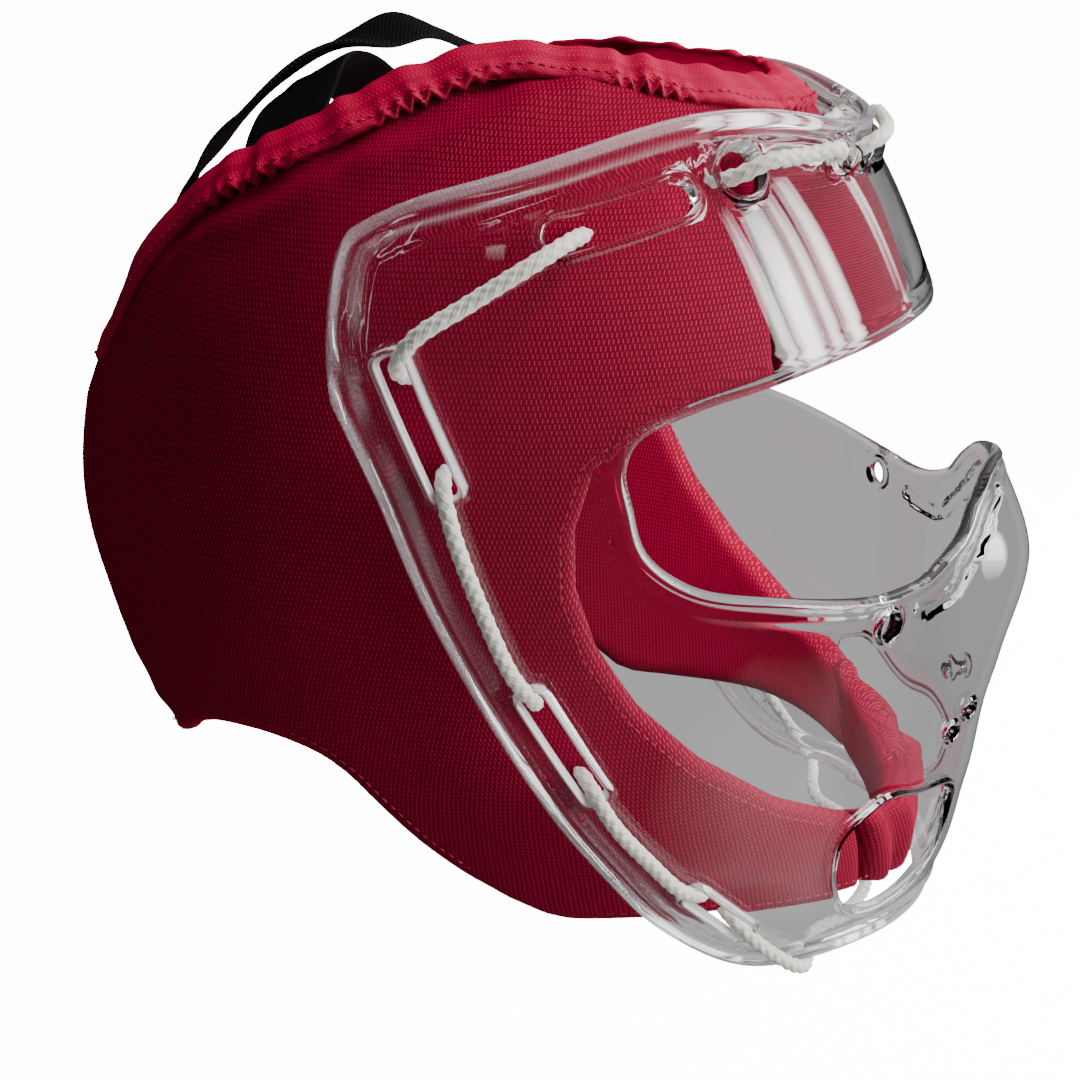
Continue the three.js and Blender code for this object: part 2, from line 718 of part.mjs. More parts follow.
// Crown hem: an oval casing along the crown edge, puckered all the way round
function hemPlace(turnShare, sectionShare) {
  const angle = 360 * turnShare - 180;
  const z = crownLevel(angle);
  const edge = hoodForm(angle, z);
  const out = normalOf(hoodForm, angle, z);
  const ahead = crownEdgePoint(angle + 1).sub(crownEdgePoint(angle - 1)).normalize();
  const up = ahead.clone().cross(out).normalize();
  const pucker = puckerDepth * Math.cos(2 * Math.PI * hemPuckers * turnShare);
  const turn = 2 * Math.PI * sectionShare;
  const tall = hemHeight / 2 + pucker / 2;
  const thick = hemThickness / 2 + pucker / 2;
  const seat = hemSeam + hemHeight / 2 + puckerDepth / 2;
  return edge.addScaledVector(up, seat + tall * Math.sin(turn))
    .addScaledVector(out, -crownEdgeWall / 2 + thick * Math.cos(turn));
}

// The crown edge lies lower on the left side, where the straps pull it down less
function crownLevel(angle) {
  const wrapped = THREE.MathUtils.euclideanModulo(angle + 180, 360) - 180;
  const lean = wrapped < 0 ? crownLean * Math.sin(radians(-wrapped)) ** 2 : 0;
  return levelOf(between(CROWN_EDGE, 'angle', 'height', Math.abs(wrapped))) - lean;
}

function crownEdgePoint(angle) {
  const wrapped = THREE.MathUtils.euclideanModulo(angle + 180, 360) - 180;
  return hoodForm(wrapped, crownLevel(angle));
}

function hemSolid() {
  const steps = hemPuckers * 2;
  const positions = [];
  const index = [];
  for (let i = 0; i < steps; i += 1) {
    for (let j = 0; j < hemSides; j += 1) {
      const point = hemPlace(i / steps, j / hemSides);
      positions.push(point.x, point.y, point.z);
      const a = i * hemSides + j;
      const b = i * hemSides + ((j + 1) % hemSides);
      const c = ((i + 1) % steps) * hemSides + ((j + 1) % hemSides);
      const d = ((i + 1) % steps) * hemSides + j;
      index.push(a, b, c, a, c, d);
    }
  }
  return solidOf(new Float32Array(positions), new Uint32Array(index));
}

// Face mask: one moulded wall with a stepped top flange and a bead along its rear and lower rim
function maskSolid(laceChannel) {
  const edgePoint = (rows, angle) => ({ angle, height: between(rows, 'angle', 'height', Math.abs(angle)) });
  const corner = MASK_REAR_EDGE[0];
  const topCorner = MASK_REAR_EDGE[MASK_REAR_EDGE.length - 1];
  const rear = (v) => {
    const z = THREE.MathUtils.lerp(levelOf(corner.height), levelOf(topCorner.height), v);
    return { angle: between(MASK_REAR_EDGE, 'height', 'angle', shareOf(z)), z };
  };
  const place = (u, v) => {
    const side = 2 * u - 1;
    const top = edgePoint(MASK_TOP_EDGE, side * topCorner.angle);
    const bottom = edgePoint(MASK_LOWER_EDGE, side * corner.angle);
    const edge = rear(v);
    const straight = THREE.MathUtils.lerp(corner.angle, topCorner.angle, v);
    const angle = side * (straight + (edge.angle - straight) * side * side);
    const z = THREE.MathUtils.lerp(levelOf(bottom.height), levelOf(top.height), v);
    const straightZ = THREE.MathUtils.lerp(levelOf(corner.height), levelOf(topCorner.height), v);
    return { angle, z: z + (edge.z - straightZ) * side * side };
  };
  const spread = (share, near) => {
    const t = 2 * share - 1;
    return (t * (1 - near) + Math.sin(t * Math.PI / 2) * near + 1) / 2;
  };
  const surface = (u, v, depth) => {
    const at = place(spread(u, maskSideCrowding), spread(v, maskRimCrowding));
    const raise = maskRaise(at.angle, at.z);
    const toRim = Math.min(u, 1 - u, v) < 1e-9 ? 1 : 0;
    const bead = rimBead * toRim;
    return lift(maskForm, at.angle, at.z, depth === 0 ? raise + bead : raise - maskWall);
  };
  let solid = wallSolid(maskColumns, maskLevels, false, (u, v) => surface(u, v, 0),
    (u, v) => surface(u, v, 1));
  [1, -1].forEach((side) => {
    SLOTS.forEach((slot) => {
      solid = solid.add(slotSolid(slot, side, slotWidth * slot.width + 2 * slotLip,
        maskWall / 2, slotLipRise));
    });
  });
  [1, -1].forEach((side) => {
    SLOTS.forEach((slot) => {
      solid = solid.subtract(slotSolid(slot, side, slotWidth * slot.width, slotCutReach, slotCutReach));
    });
    HOLES.forEach((hole) => {
      solid = solid.subtract(holeCutter(hole, side));
    });
    const cutout = smoothOutline(CHIN_CUTOUT.map((row) => ({ ...row, angle: side * row.angle })), cutoutPoints);
    solid = solid.subtract(outlineCutter(maskForm, cutout, nearCutterInward, nearCutterOutward));
  });
  const window = smoothOutline(bothSides(WINDOW_EDGE), windowPoints);
  return solid.subtract(outlineCutter(maskForm, window, cutterInward, cutterOutward)).subtract(laceChannel);
}

// Crown straps: flat elastic bands from the inside of the hem on one side, over the crown, to the other
function strapSolid(strap) {
  const bow = strapWidth ** 2 / (8 * hoodHalfWidth * between(HOOD_ROWS, 'height', 'width', PAD_TOP));
  const inset = crownEdgeWall / 2 + hemThickness / 2 + puckerDepth + strapThickness / 2
    + strapClearance + bow;
  const anchor = (angle) => {
    const edge = crownEdgePoint(angle);
    const tangent = crownEdgePoint(angle + 1).sub(crownEdgePoint(angle - 1)).normalize();
    const out = normalOf(hoodForm, angle, edge.z);
    const level = tangent.clone().cross(out).multiplyScalar(hemSeam + hemHeight / 2);
    return { point: edge.add(level).addScaledVector(out, -inset), tangent };
  };
  const from = anchor(strap.start);
  const to = anchor(strap.end);
  const centreAt = (t) => from.point.clone().lerp(to.point, t)
    .add(new THREE.Vector3(0, 0, hoodRise * between(strap.rows, 'along', 'rise', t)));
  const flat = to.point.clone().sub(from.point).setZ(0).normalize();
  const across = new THREE.Vector3(-flat.y, flat.x, 0);
  across.multiplyScalar(Math.sign(across.y));
  const down = new THREE.Vector3(0, 0, -1);
  const tilted = (t) => {
    const tilt = radians(between(strap.rows, 'along', 'tilt', t));
    return across.clone().multiplyScalar(Math.cos(tilt)).addScaledVector(down, Math.sin(tilt));
  };
  const towards = (tangent) => tangent.clone().multiplyScalar(Math.sign(tangent.dot(across)));
  const positions = [];
  const index = [];
  for (let i = 0; i <= strapSteps; i += 1) {
    const t = i / strapSteps;
    const ahead = centreAt(Math.min(t + 0.01, 1)).sub(centreAt(Math.max(t - 0.01, 0))).normalize();
    const nearest = t < 0.5 ? towards(from.tangent) : towards(to.tangent);
    const share = THREE.MathUtils.smoothstep(0.5 - Math.abs(t - 0.5), 0, strapTurnShare);
    const side = nearest.lerp(tilted(t), share);
    side.addScaledVector(ahead, -side.dot(ahead)).normalize();
    const up = ahead.clone().cross(side).normalize();
    [[-1, -1], [1, -1], [1, 1], [-1, 1]].forEach(([a, b]) => {
      const point = centreAt(t).addScaledVector(side, a * strapWidth / 2)
        .addScaledVector(up, b * strapThickness / 2);
      positions.push(point.x, point.y, point.z);
    });
  }
  const quad = (a, b, c, d) => index.push(a, b, c, a, c, d);
  for (let i = 0; i < strapSteps; i += 1) {
    for (let k = 0; k < 4; k += 1) {
      const next = (k + 1) % 4;
      quad(4 * i + k, 4 * i + next, 4 * i + 4 + next, 4 * i + 4 + k);
    }
  }
  quad(3, 2, 1, 0);
  const end = 4 * strapSteps;
  quad(end, end + 1, end + 2, end + 3);
  return solidOf(new Float32Array(positions), new Uint32Array(index));
}

// Materials
const knit = new THREE.MeshStandardMaterial({ color: 0x9e0a24, roughness: 0.85, metalness: 0 });
const elastic = new THREE.MeshStandardMaterial({ color: 0x15161a, roughness: 0.8, metalness: 0 });
const clear = new THREE.MeshStandardMaterial({
  color: 0xe8ecef, roughness: 0.05, metalness: 0, transparent: true, opacity: 0.35,
});
const cordWhite = new THREE.MeshStandardMaterial({ color: 0xe9e6dd, roughness: 0.7, metalness: 0 });

const headgear = new THREE.Group();
function addPiece(name, solid, material) {
  const mesh = new THREE.Mesh(geometryOf(solid), material.clone());
  mesh.name = name;
  headgear.add(mesh);
}

const channel = laceSolid((laceDiameter + 2 * laceGap) * channelFlats, channelSides);
addPiece('hood_shell', hoodSolid(channel), knit);
addPiece('forehead_pad', foreheadPadSolid(channel), knit);
addPiece('chin_cup', chinCupSolid(channel), knit);
addPiece('crown_hem', hemSolid(), knit);
STRAPS.forEach((strap) => addPiece(strap.name, strapSolid(strap), elastic));
addPiece('face_mask', maskSolid(channel), clear);
addPiece('lace', laceSolid(laceDiameter, laceSides), cordWhite);

export default headgear;
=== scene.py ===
import math

import bmesh
import bpy
import numpy as np
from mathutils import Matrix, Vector, geometry, kdtree


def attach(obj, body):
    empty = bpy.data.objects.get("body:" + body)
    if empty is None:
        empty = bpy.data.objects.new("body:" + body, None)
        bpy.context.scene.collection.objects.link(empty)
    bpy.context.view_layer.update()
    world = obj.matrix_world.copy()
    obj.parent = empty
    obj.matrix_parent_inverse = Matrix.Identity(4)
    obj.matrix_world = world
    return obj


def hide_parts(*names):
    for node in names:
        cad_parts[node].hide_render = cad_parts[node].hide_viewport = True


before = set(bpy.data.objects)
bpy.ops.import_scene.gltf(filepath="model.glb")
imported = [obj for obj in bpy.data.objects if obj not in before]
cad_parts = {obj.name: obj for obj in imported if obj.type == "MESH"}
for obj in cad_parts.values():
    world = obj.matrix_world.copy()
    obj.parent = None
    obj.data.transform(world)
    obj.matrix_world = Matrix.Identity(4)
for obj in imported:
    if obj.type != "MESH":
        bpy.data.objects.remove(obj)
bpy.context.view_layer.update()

MM = 0.001


# Camera: the wearer's right side, a little in front of it and from above.
camera_azimuth = math.radians(-80)
camera_elevation = math.radians(22)
camera_distance = 0.42
camera_target = Vector((0, -0.02, -0.045))
camera_back = Vector((
    math.sin(camera_azimuth) * math.cos(camera_elevation),
    -math.cos(camera_azimuth) * math.cos(camera_elevation),
    math.sin(camera_elevation),
))
camera_data = bpy.data.cameras.new("camera")
camera_data.lens = 54.67
camera_data.sensor_width = 36
camera_data.clip_start = 0.01
def placed(name, data):
    made = bpy.data.objects.new(name, data)
    bpy.context.collection.objects.link(made)
    return made


camera = placed("camera", camera_data)
camera.location = camera_target + camera_back * camera_distance
camera.rotation_euler = camera_back.to_track_quat("Z", "Y").to_euler()
bpy.context.scene.camera = camera


# Node trees are written as expressions: a Wire wraps one socket, and arithmetic on it adds Math nodes
class Wire:
    def __init__(self, tree, socket):
        self.tree = tree
        self.socket = socket

    def math(self, operation, *others):
        return self.tree.add("ShaderNodeMath", {"operation": operation}, [self, *others])

    def __add__(self, other):
        return self.math("ADD", other)

    __radd__ = __add__

    def __sub__(self, other):
        return self.math("SUBTRACT", other)

    def __rsub__(self, other):
        return self.tree.add("ShaderNodeMath", {"operation": "SUBTRACT"}, [other, self])

    def __mul__(self, other):
        return self.math("MULTIPLY", other)

    __rmul__ = __mul__

    def __truediv__(self, other):
        return self.math("DIVIDE", other)

    def output(self, key):
        return Wire(self.tree, self.socket.node.outputs[key])


class Nodes:
    def __init__(self, node_tree):
        self.node_tree = node_tree

    def add(self, kind, settings=None, sockets=None, output=0):
        node = self.node_tree.nodes.new(kind)
        for name, value in (settings or {}).items():
            setattr(node, name, value)
        pairs = sockets.items() if isinstance(sockets, dict) else enumerate(sockets or [])
        for key, value in pairs:
            if isinstance(value, Wire):
                self.node_tree.links.new(value.socket, node.inputs[key])
            else:
                node.inputs[key].default_value = value
        return Wire(self, node.outputs[output])

    def mix(self, factor, dark, light):
        return self.add("ShaderNodeMix", {"data_type": "RGBA"}, {0: factor, 6: dark, 7: light}, 2)

    def ramp(self, value, low, high):
        return self.add("ShaderNodeMapRange", {"interpolation_type": "SMOOTHSTEP"},
                        {0: value, 1: low, 2: high})

    def noise(self, place, scale, detail=2.0):
        return self.add("ShaderNodeTexNoise", {}, {"Vector": place, "Scale": scale, "Detail": detail})

    def place(self, kind):
        return self.add("ShaderNodeTexCoord", output=kind)

    def attribute(self, name):
        return self.add("ShaderNodeAttribute", {"attribute_name": name}, output="Fac")

    def bump(self, strength, distance, height):
        return self.add("ShaderNodeBump", {}, {"Strength": strength, "Distance": distance, "Height": height})

    def principled(self, sockets):
        return self.add("ShaderNodeBsdfPrincipled", sockets=sockets)

    def surface(self, shader):
        output = self.node_tree.nodes.new("ShaderNodeOutputMaterial")
        self.node_tree.links.new(shader.socket, output.inputs["Surface"])


def new_material(name):
    material = bpy.data.materials.new(name)
    material.use_nodes = True
    material.node_tree.nodes.clear()
    return material, Nodes(material.node_tree)


# Floor and light: a pale floor well below the part, which is held up at its mount. The eye sees it
# white. Through the clear mask a greyer floor and room show, and only those on the far side.
floor_reach = 16.0
floor_level = -0.42
backdrop_radius = 15.6
room_radius = 15.0
seen_brightness = 14.0
white = (1, 1, 1, 1)
light_target = Vector((0, -0.02, 0))


def hidden_from(thing, *rays):
    for ray in rays:
        setattr(thing, "visible_" + ray, False)


def white_floor():
    material, nodes = new_material("pale_floor")
    nodes.surface(nodes.principled({
        "Base Color": (0.9, 0.9, 0.9, 1), "Roughness": 0.8, "Specular IOR Level": 0.1,
        "Emission Color": white, "Emission Strength": seen_brightness}))
    return material


# Light that falls away towards the camera's side, so that the mask's inner faces mirror nothing bright
def far_side_glow(name, brightness, least, near, far):
    material, nodes = new_material(name)
    beyond = nodes.ramp(nodes.add("ShaderNodeSeparateXYZ", {}, [nodes.place("Object")]), near, far)
    glow = nodes.mix(beyond, (least, least, least, 1), white)
    nodes.surface(nodes.add("ShaderNodeEmission", {}, {"Color": glow, "Strength": brightness}))
    return material


def backdrop(thing, material, unseen_by):
    thing.data.materials.append(material)
    hidden_from(thing, "diffuse", "glossy", "shadow", unseen_by)


def floor_at(name, level, material, unseen_by):
    mesh = bpy.data.meshes.new(name)
    corners = [(x * floor_reach, y * floor_reach, level) for x, y in ((-1, -1), (1, -1), (1, 1), (-1, 1))]
    mesh.from_pydata(corners, [], [(0, 1, 2, 3)])
    backdrop(placed(name, mesh), material, unseen_by)


# The backdrop that the eye sees, and the dimmer room that the clear mask sees in its place
def room_at(name, radius, material, unseen_by):
    bpy.ops.mesh.primitive_uv_sphere_add(segments=32, ring_count=16, radius=radius)
    bpy.context.object.name = name
    backdrop(bpy.context.object, material, unseen_by)


far_floor = far_side_glow("far_floor", 0.52, 0.16, -0.35, 0.1)
pale_wall = far_side_glow("pale_wall", seen_brightness, 1.0, -1.0, 1.0)
far_room = far_side_glow("far_room", 0.42, 0.16, -5.0, 3.0)
floor_at("pale_floor", floor_level, white_floor(), "transmission")
floor_at("floor_behind_clear", floor_level - 0.01, far_floor, "camera")
room_at("pale_backdrop", backdrop_radius, pale_wall, "transmission")
room_at("room_behind_clear", room_radius, far_room, "camera")

world = bpy.data.worlds.new("studio")
world.use_nodes = True
world.node_tree.nodes["Background"].inputs["Color"].default_value = white
world.node_tree.nodes["Background"].inputs["Strength"].default_value = 0.12
world.cycles_visibility.glossy = False
bpy.context.scene.world = world


def softbox(name, place, width, height, power):
    light_data = bpy.data.lights.new(name, "AREA")
    light_data.shape = "RECTANGLE"
    light_data.size = width
    light_data.size_y = height
    light_data.energy = power
    light = placed(name, light_data)
    light.location = place
    light.rotation_euler = (Vector(place) - light_target).to_track_quat("Z", "Y").to_euler()
    hidden_from(light, "glossy", "transmission")


# A tall window in front, its panes apart: place across, lamp width and power, card width and brightness
window_panes = [(-0.52, 0.1, 4, 0.14, 26), (-0.3, 0.22, 7, 0.3, 44), (-0.04, 0.12, 4, 0.16, 26),
                (0.2, 0.2, 5, 0.22, 26)]
for pane, (x, width, power, _, _) in enumerate(window_panes):
    softbox("window_pane_%d" % pane, (x, -1.45, 0.14), width, 0.85, power)
softbox("crown_softbox", (0.1, -0.65, 1.25), 0.9, 0.5, 35)
softbox("floor_bounce", (-0.45, -0.9, -0.85), 0.6, 0.6, 9)
softbox("rear_softbox", (-0.9, 1.3, 0.0), 0.6, 0.6, 3)
softbox("far_softbox", (1.1, -0.9, 0.2), 0.7, 0.9, 20)

# A soft glow inside the face opening, which lights the turned edges round it
glow_data = bpy.data.lights.new("opening_glow", "POINT")
glow_data.energy = 0.45
glow_data.shadow_soft_size = 0.035
opening_glow = placed("opening_glow", glow_data)
opening_glow.location = (0.01, -0.085, -0.035)
hidden_from(opening_glow, "camera", "glossy", "transmission")


# Cards that only gloss and glass see, bright in the middle and fading to their sides: the window's
# panes and the bright lines along the mask's rims are mirrored from them
def shine_card(name, place, width, height, brightness):
    turn = (Vector(place) - light_target).to_track_quat("Z", "Y")
    columns = (-1, -0.35, 0.35, 1)
    grid = [(x, y) for y in columns for x in columns]
    corners = [tuple(Vector(place) + turn @ Vector((x * width / 2, y * height / 2, 0))) for x, y in grid]
    mesh = bpy.data.meshes.new(name)
    mesh.from_pydata(corners, [], [(k, k + 1, k + 5, k + 4) for k in range(11) if k % 4 < 3])
    gleam = [float(abs(x) < 1 and abs(y) < 1) for x, y in grid]
    mesh.attributes.new("gleam", "FLOAT", "POINT").data.foreach_set("value", gleam)
    material, nodes = new_material(name)
    glow = nodes.mix(nodes.attribute("gleam"), (0, 0, 0, 1), white)
    nodes.surface(nodes.add("ShaderNodeEmission", {}, {"Color": glow, "Strength": brightness}))
    mesh.materials.append(material)
    card = placed(name, mesh)
    hidden_from(card, "diffuse", "camera", "shadow")


for pane, (x, _, _, width, brightness) in enumerate(window_panes):
    shine_card("window_glow_%d" % pane, (x, -1.4, 0.2), width, 1.7, brightness)
shine_card("side_card", (-1.2, 0.55, 0.25), 0.09, 1.0, 9.0)
shine_card("upper_card", (-0.9, -0.1, 1.05), 0.12, 1.1, 9.0)
shine_card("low_card", (-0.4, -0.75, -0.85), 1.0, 0.7, 1.1)
shine_card("far_card", (0.9, -1.0, 0.5), 0.1, 0.9, 9.0)


# Hood shell: the padded red knit body of the headgear, one layer of foam between two layers of warp
# knit, cut open for the crown, the face and the neck, with every edge turned and stitched.
hood_half_width = 86
hood_front = 108
hood_rear = 90
hood_rise = 88
hood_drop = 165
hood_wall = 8
hood_rounding = 3.6
crown_edge_wall = 4
crown_taper = 16
pad_half_angle = 42.5
chin_half_angle = 31
seam_angle = 0.35
pad_top = 0.69
# Height as a share of the rise or drop; half width, front, widest place and rear as shares of their
# sizes; and how square the section is
hood_rows = [
    (-1, 0.465, 0.926, -0.37, 0.111, 2.2),
    (-0.909, 0.581, 1, -0.352, 0.267, 2.2),
    (-0.758, 0.721, 1.083, -0.278, 0.511, 2.2),
    (-0.606, 0.849, 1.093, -0.148, 0.722, 2.3),
    (-0.455, 0.93, 1.02, -0.056, 0.856, 2.3),
    (-0.303, 0.977, 0.981, -0.019, 0.956, 2.3),
    (-0.121, 1, 0.981, 0, 1, 2.3),
    (0.114, 1, 0.972, 0, 0.91, 2.3),
    (0.398, 0.953, 0.926, -0.019, 0.8, 2.25),
    (0.625, 0.86, 0.833, -0.037, 0.667, 2.2),
    (0.795, 0.721, 0.713, -0.056, 0.511, 2.1),
    (0.909, 0.57, 0.574, -0.074, 0.367, 2),
    (0.977, 0.395, 0.426, -0.083, 0.2, 2),
]
# Every edge is given as angles from the front and heights as shares
hood_lower_edge = [
    (0, -0.74), (31, -0.705), (55, -0.677), (78.5, -0.685), (85, -0.682), (88.1, -0.65), (91, -0.591),
    (94.2, -0.529), (96.8, -0.465), (100, -0.42), (106, -0.396), (113, -0.392), (121, -0.405),
    (135, -0.46), (150, -0.52), (180, -0.54),
]
crown_edge = [
    (0, 0.76), (17, 0.775), (39.8, 0.815), (55, 0.853), (67.8, 0.876), (80.6, 0.872), (93.1, 0.815),
    (102.8, 0.752), (110.3, 0.705), (120.3, 0.64), (126, 0.595), (132, 0.53), (137, 0.44), (142, 0.32),
    (150, 0.18), (162, 0.095), (180, 0.05),
]
crown_lean = 10
face_edge = [
    (55, 0.16), (62.6, 0.09), (67.5, 0.035), (69.8, -0.06), (69.8, -0.14), (67.5, -0.222),
    (62.6, -0.313), (54.9, -0.405), (44.6, -0.486), (35.6, -0.53),
]
brow_corner = 0.2
chin_corner = -0.55


# Smooth value between the rows of a table, with slopes from the neighbouring rows
def between(keys, values, at):
    last = len(keys) - 1
    at = np.clip(np.asarray(at, float), keys[0], keys[-1])
    before = np.maximum(np.arange(last + 1) - 1, 0)
    after = np.minimum(np.arange(last + 1) + 1, last)
    slope = (values[after] - values[before]) / (keys[after] - keys[before])
    row = np.clip(np.searchsorted(keys, at, side="right") - 1, 0, last - 1)
    span = keys[row + 1] - keys[row]
    t = (at - keys[row]) / span
    rest = 1 - t
    return (values[row] * (1 + 2 * t) * rest ** 2 + values[row + 1] * (3 - 2 * t) * t ** 2
            + span * t * rest * (slope[row] * rest - slope[row + 1] * t))


# Every column of a table but the first, which the rows go by
def columns_at(rows, at):
    keys, *columns = np.array(rows, float).T
    return [between(keys, values, at) for values in columns]


def level_of(share):
    share = np.asarray(share, float)
    return np.where(share < 0, share * hood_drop, share * hood_rise)


def share_of(z):
    z = np.asarray(z, float)
    return np.where(z < 0, z / hood_drop, z / hood_rise)


def edge_level(edge, angle):
    return level_of(columns_at(edge, np.abs(angle))[0])


def edge_line(edge, turns):
    return [(float(turn), float(edge_level(edge, turn))) for turn in turns]


def at_side(rows, side):
    return [(side * angle, float(level_of(height))) for angle, height in rows]


# A horizontal section of the hood's form: angle 0 is the front, 180 the rear, positive the right side
def section_point(angle, z, width, front, widest, rear, square):
    turn = np.radians(np.abs(angle))
    sine = np.abs(np.sin(turn)) ** (2 / square)
    cosine = np.abs(np.cos(turn)) ** (2 / square)
    x = -np.sign(angle) * width * sine
    y = np.where(np.cos(turn) > 0, widest - (widest - front) * cosine, widest + (rear - widest) * cosine)
    return np.stack([x, y, z + 0 * x], -1)


def hood_section(z):
    width, front, widest, rear, square = columns_at(hood_rows, share_of(z))
    return hood_half_width * width, -hood_front * front, hood_front * widest, hood_rear * rear, square


def hood_form(angle, z):
    return section_point(angle, z, *hood_section(z))


def unit(vector):
    return vector / np.linalg.norm(vector, axis=-1, keepdims=True)


def normal_of(form, angle, z):
    across = form(angle + 0.5, z) - form(angle - 0.5, z)
    return unit(np.cross(form(angle, z + 1) - form(angle, z - 1), across))


def raised(form, angle, z, rise):
    return form(angle, z) + normal_of(form, angle, z) * np.asarray(rise, float)[..., None]


def round_turn(steps):
    return np.linspace(0, 2 * math.pi, steps, endpoint=False)


def from_front(angle):
    return (np.asarray(angle, float) + 180) % 360 - 180


def crown_level(angle):
    turn = from_front(angle)
    lean = np.where(turn < 0, crown_lean * np.sin(np.radians(-turn)) ** 2, 0)
    return edge_level(crown_edge, turn) - lean


def smoothstep(value, low, high):
    t = np.clip((value - low) / (high - low), 0, 1)
    return t * t * (3 - 2 * t)


# Seeded soft noise over a form: a few slow waves through the space it stands in
def ripple(points, length, seed):
    choice = np.random.default_rng(seed)
    total = 0
    for _ in range(6):
        way = choice.normal(size=3)
        way /= np.linalg.norm(way)
        stretch = choice.uniform(0.7, 1.6)
        phase = choice.uniform(0, 2 * math.pi)
        total = total + np.sin(2 * math.pi * (points @ way) / (length * stretch) + phase)
    return total / 6


# A panel is cut in a flat map of angle and height, filled with points, and carried onto its form as a
# closed pad: full in the middle and rounded to nothing at every edge.
map_scale = 1.5
row_clearance = 0.85
triangle_height = 0.866
marks_per_edge = 5


def divided(rows, angle_step=3.0, height_step=5.0, closed=True):
    points = []
    for (angle, z), (next_angle, next_z) in zip(rows, rows[1:] + rows[:1] * closed):
        steps = (1, abs(next_angle - angle) / angle_step, abs(next_z - z) / height_step)
        parts = math.ceil(max(steps))
        points.extend((angle + (next_angle - angle) * k / parts, z + (next_z - z) * k / parts)
                      for k in range(parts))
    return points


def inside_of(points, loops):
    inside = np.zeros(len(points), bool)
    for loop in loops:
        for a, b in zip(loop, np.roll(loop, -1, axis=0)):
            crosses = (a[1] > points[:, 1]) != (b[1] > points[:, 1])
            rise = b[1] - a[1] if b[1] != a[1] else 1e-12
            x = a[0] + (points[:, 1] - a[1]) / rise * (b[0] - a[0])
            inside ^= crosses & (points[:, 0] < x)
    return inside


def tree_of(points):
    tree = kdtree.KDTree(len(points))
    for i, point in enumerate(points):
        tree.insert(point, i)
    tree.balance()
    return tree


def nearest(tree, points):
    found = [tree.find(point)[1:] for point in points]
    return np.array([f[0] for f in found]), np.array([f[1] for f in found])


def cut_panel(outlines, spacing, edge_rows, border_spacing=None):
    loops = [np.array(outline, float) * (map_scale, 1) for outline in outlines]
    border = []
    edges = []
    loop_of = []
    for index, loop in enumerate(loops):
        start = len(border)
        for here, there in zip(loop, np.roll(loop, -1, axis=0)):
            parts = max(1, int(np.linalg.norm(there - here) / (border_spacing or spacing) + 0.5))
            border.extend(here + (there - here) * k / parts for k in range(parts))
        edges.extend((k, k + 1 if k + 1 < len(border) else start) for k in range(start, len(border)))
        loop_of.extend([index] * (len(border) - start))
    border = np.array(border)
    rear = 180 * map_scale - 1e-6
    real = [(a, b) for a, b in edges if min(abs(border[a][0]), abs(border[b][0])) < rear]
    rows = []
    own = []
    for start, end in real:
        along = border[end] - border[start]
        side = np.array([-along[1], along[0]]) / max(np.linalg.norm(along), 1e-9)
        for reach in edge_rows:
            for sign in (1, -1):
                rows.append((border[start] + border[end]) / 2 + side * reach * sign)
                own.append(reach * row_clearance)
    low = border.min(axis=0)
    high = border.max(axis=0)
    grid = []
    for row, y in enumerate(np.arange(low[1], high[1], spacing * triangle_height)):
        start = low[0] + spacing / 2 * (row % 2)
        grid.extend((x, y) for x in np.arange(start, high[0], spacing))
    inner = np.array(rows + grid)
    clear = np.array(own + [max(edge_rows) + 0.6 * spacing] * len(grid))
    keep = inside_of(inner, loops)
    inner = inner[keep]
    clear = clear[keep]
    flat = [(x, y, 0) for x, y in border]
    gap = nearest(tree_of(flat), [(x, y, 0) for x, y in inner])[1]
    points = np.vstack([border, inner[gap > clear]])
    cut = geometry.delaunay_2d_cdt([Vector(p) for p in points], edges, [], 0, 1e-4)
    verts = np.array([tuple(v) for v in cut[0]])
    faces = np.array([f for f in cut[2] if len(f) == 3])
    faces = faces[inside_of(verts[faces].mean(axis=1), loops)]
    # Marks along every cut edge but the hood's own line down the rear, each with the number of its loop
    marks = [border[start] + (border[end] - border[start]) * k / marks_per_edge
             for start, end in real for k in range(marks_per_edge)]
    owner = np.repeat([loop_of[start] for start, _ in real], marks_per_edge)
    return verts / (map_scale, 1), faces, np.array(marks) / (map_scale, 1), owner


def lengths_along(points):
    return np.concatenate([[0], np.cumsum(np.linalg.norm(np.diff(points, axis=0), axis=1))])


# The knit runs level round the hood: lengths round it and up it, in metres, are the pattern's map
section_turns = np.linspace(0, 180, 361)
section_lengths = lengths_along(hood_form(section_turns, 0 * section_turns))
level_marks = np.linspace(-hood_drop, hood_rise * 0.97, 200)
level_lengths = lengths_along(hood_form(90 + 0 * level_marks, level_marks))
knit_anchor = 100


def knit_map(angle, z):
    length = np.interp(np.abs(angle), section_turns, section_lengths)
    anchor = np.interp(knit_anchor, section_turns, section_lengths)
    across = np.sign(angle) * (anchor + (length - anchor) * columns_at(hood_rows, share_of(z))[0])
    return np.stack([across, np.interp(z, level_marks, level_lengths)], -1) * MM


def make_object(name, verts, faces, material, uv):
    mesh = bpy.data.meshes.new(name)
    mesh.from_pydata([tuple(v) for v in verts * MM], [], [tuple(int(i) for i in f) for f in faces])
    mesh.shade_smooth()
    loops = np.zeros(len(mesh.loops), int)
    mesh.loops.foreach_get("vertex_index", loops)
    mesh.uv_layers.new(name="UVMap").data.foreach_set("uv", uv[loops].ravel())
    mesh.materials.append(material)
    return placed(name, mesh)


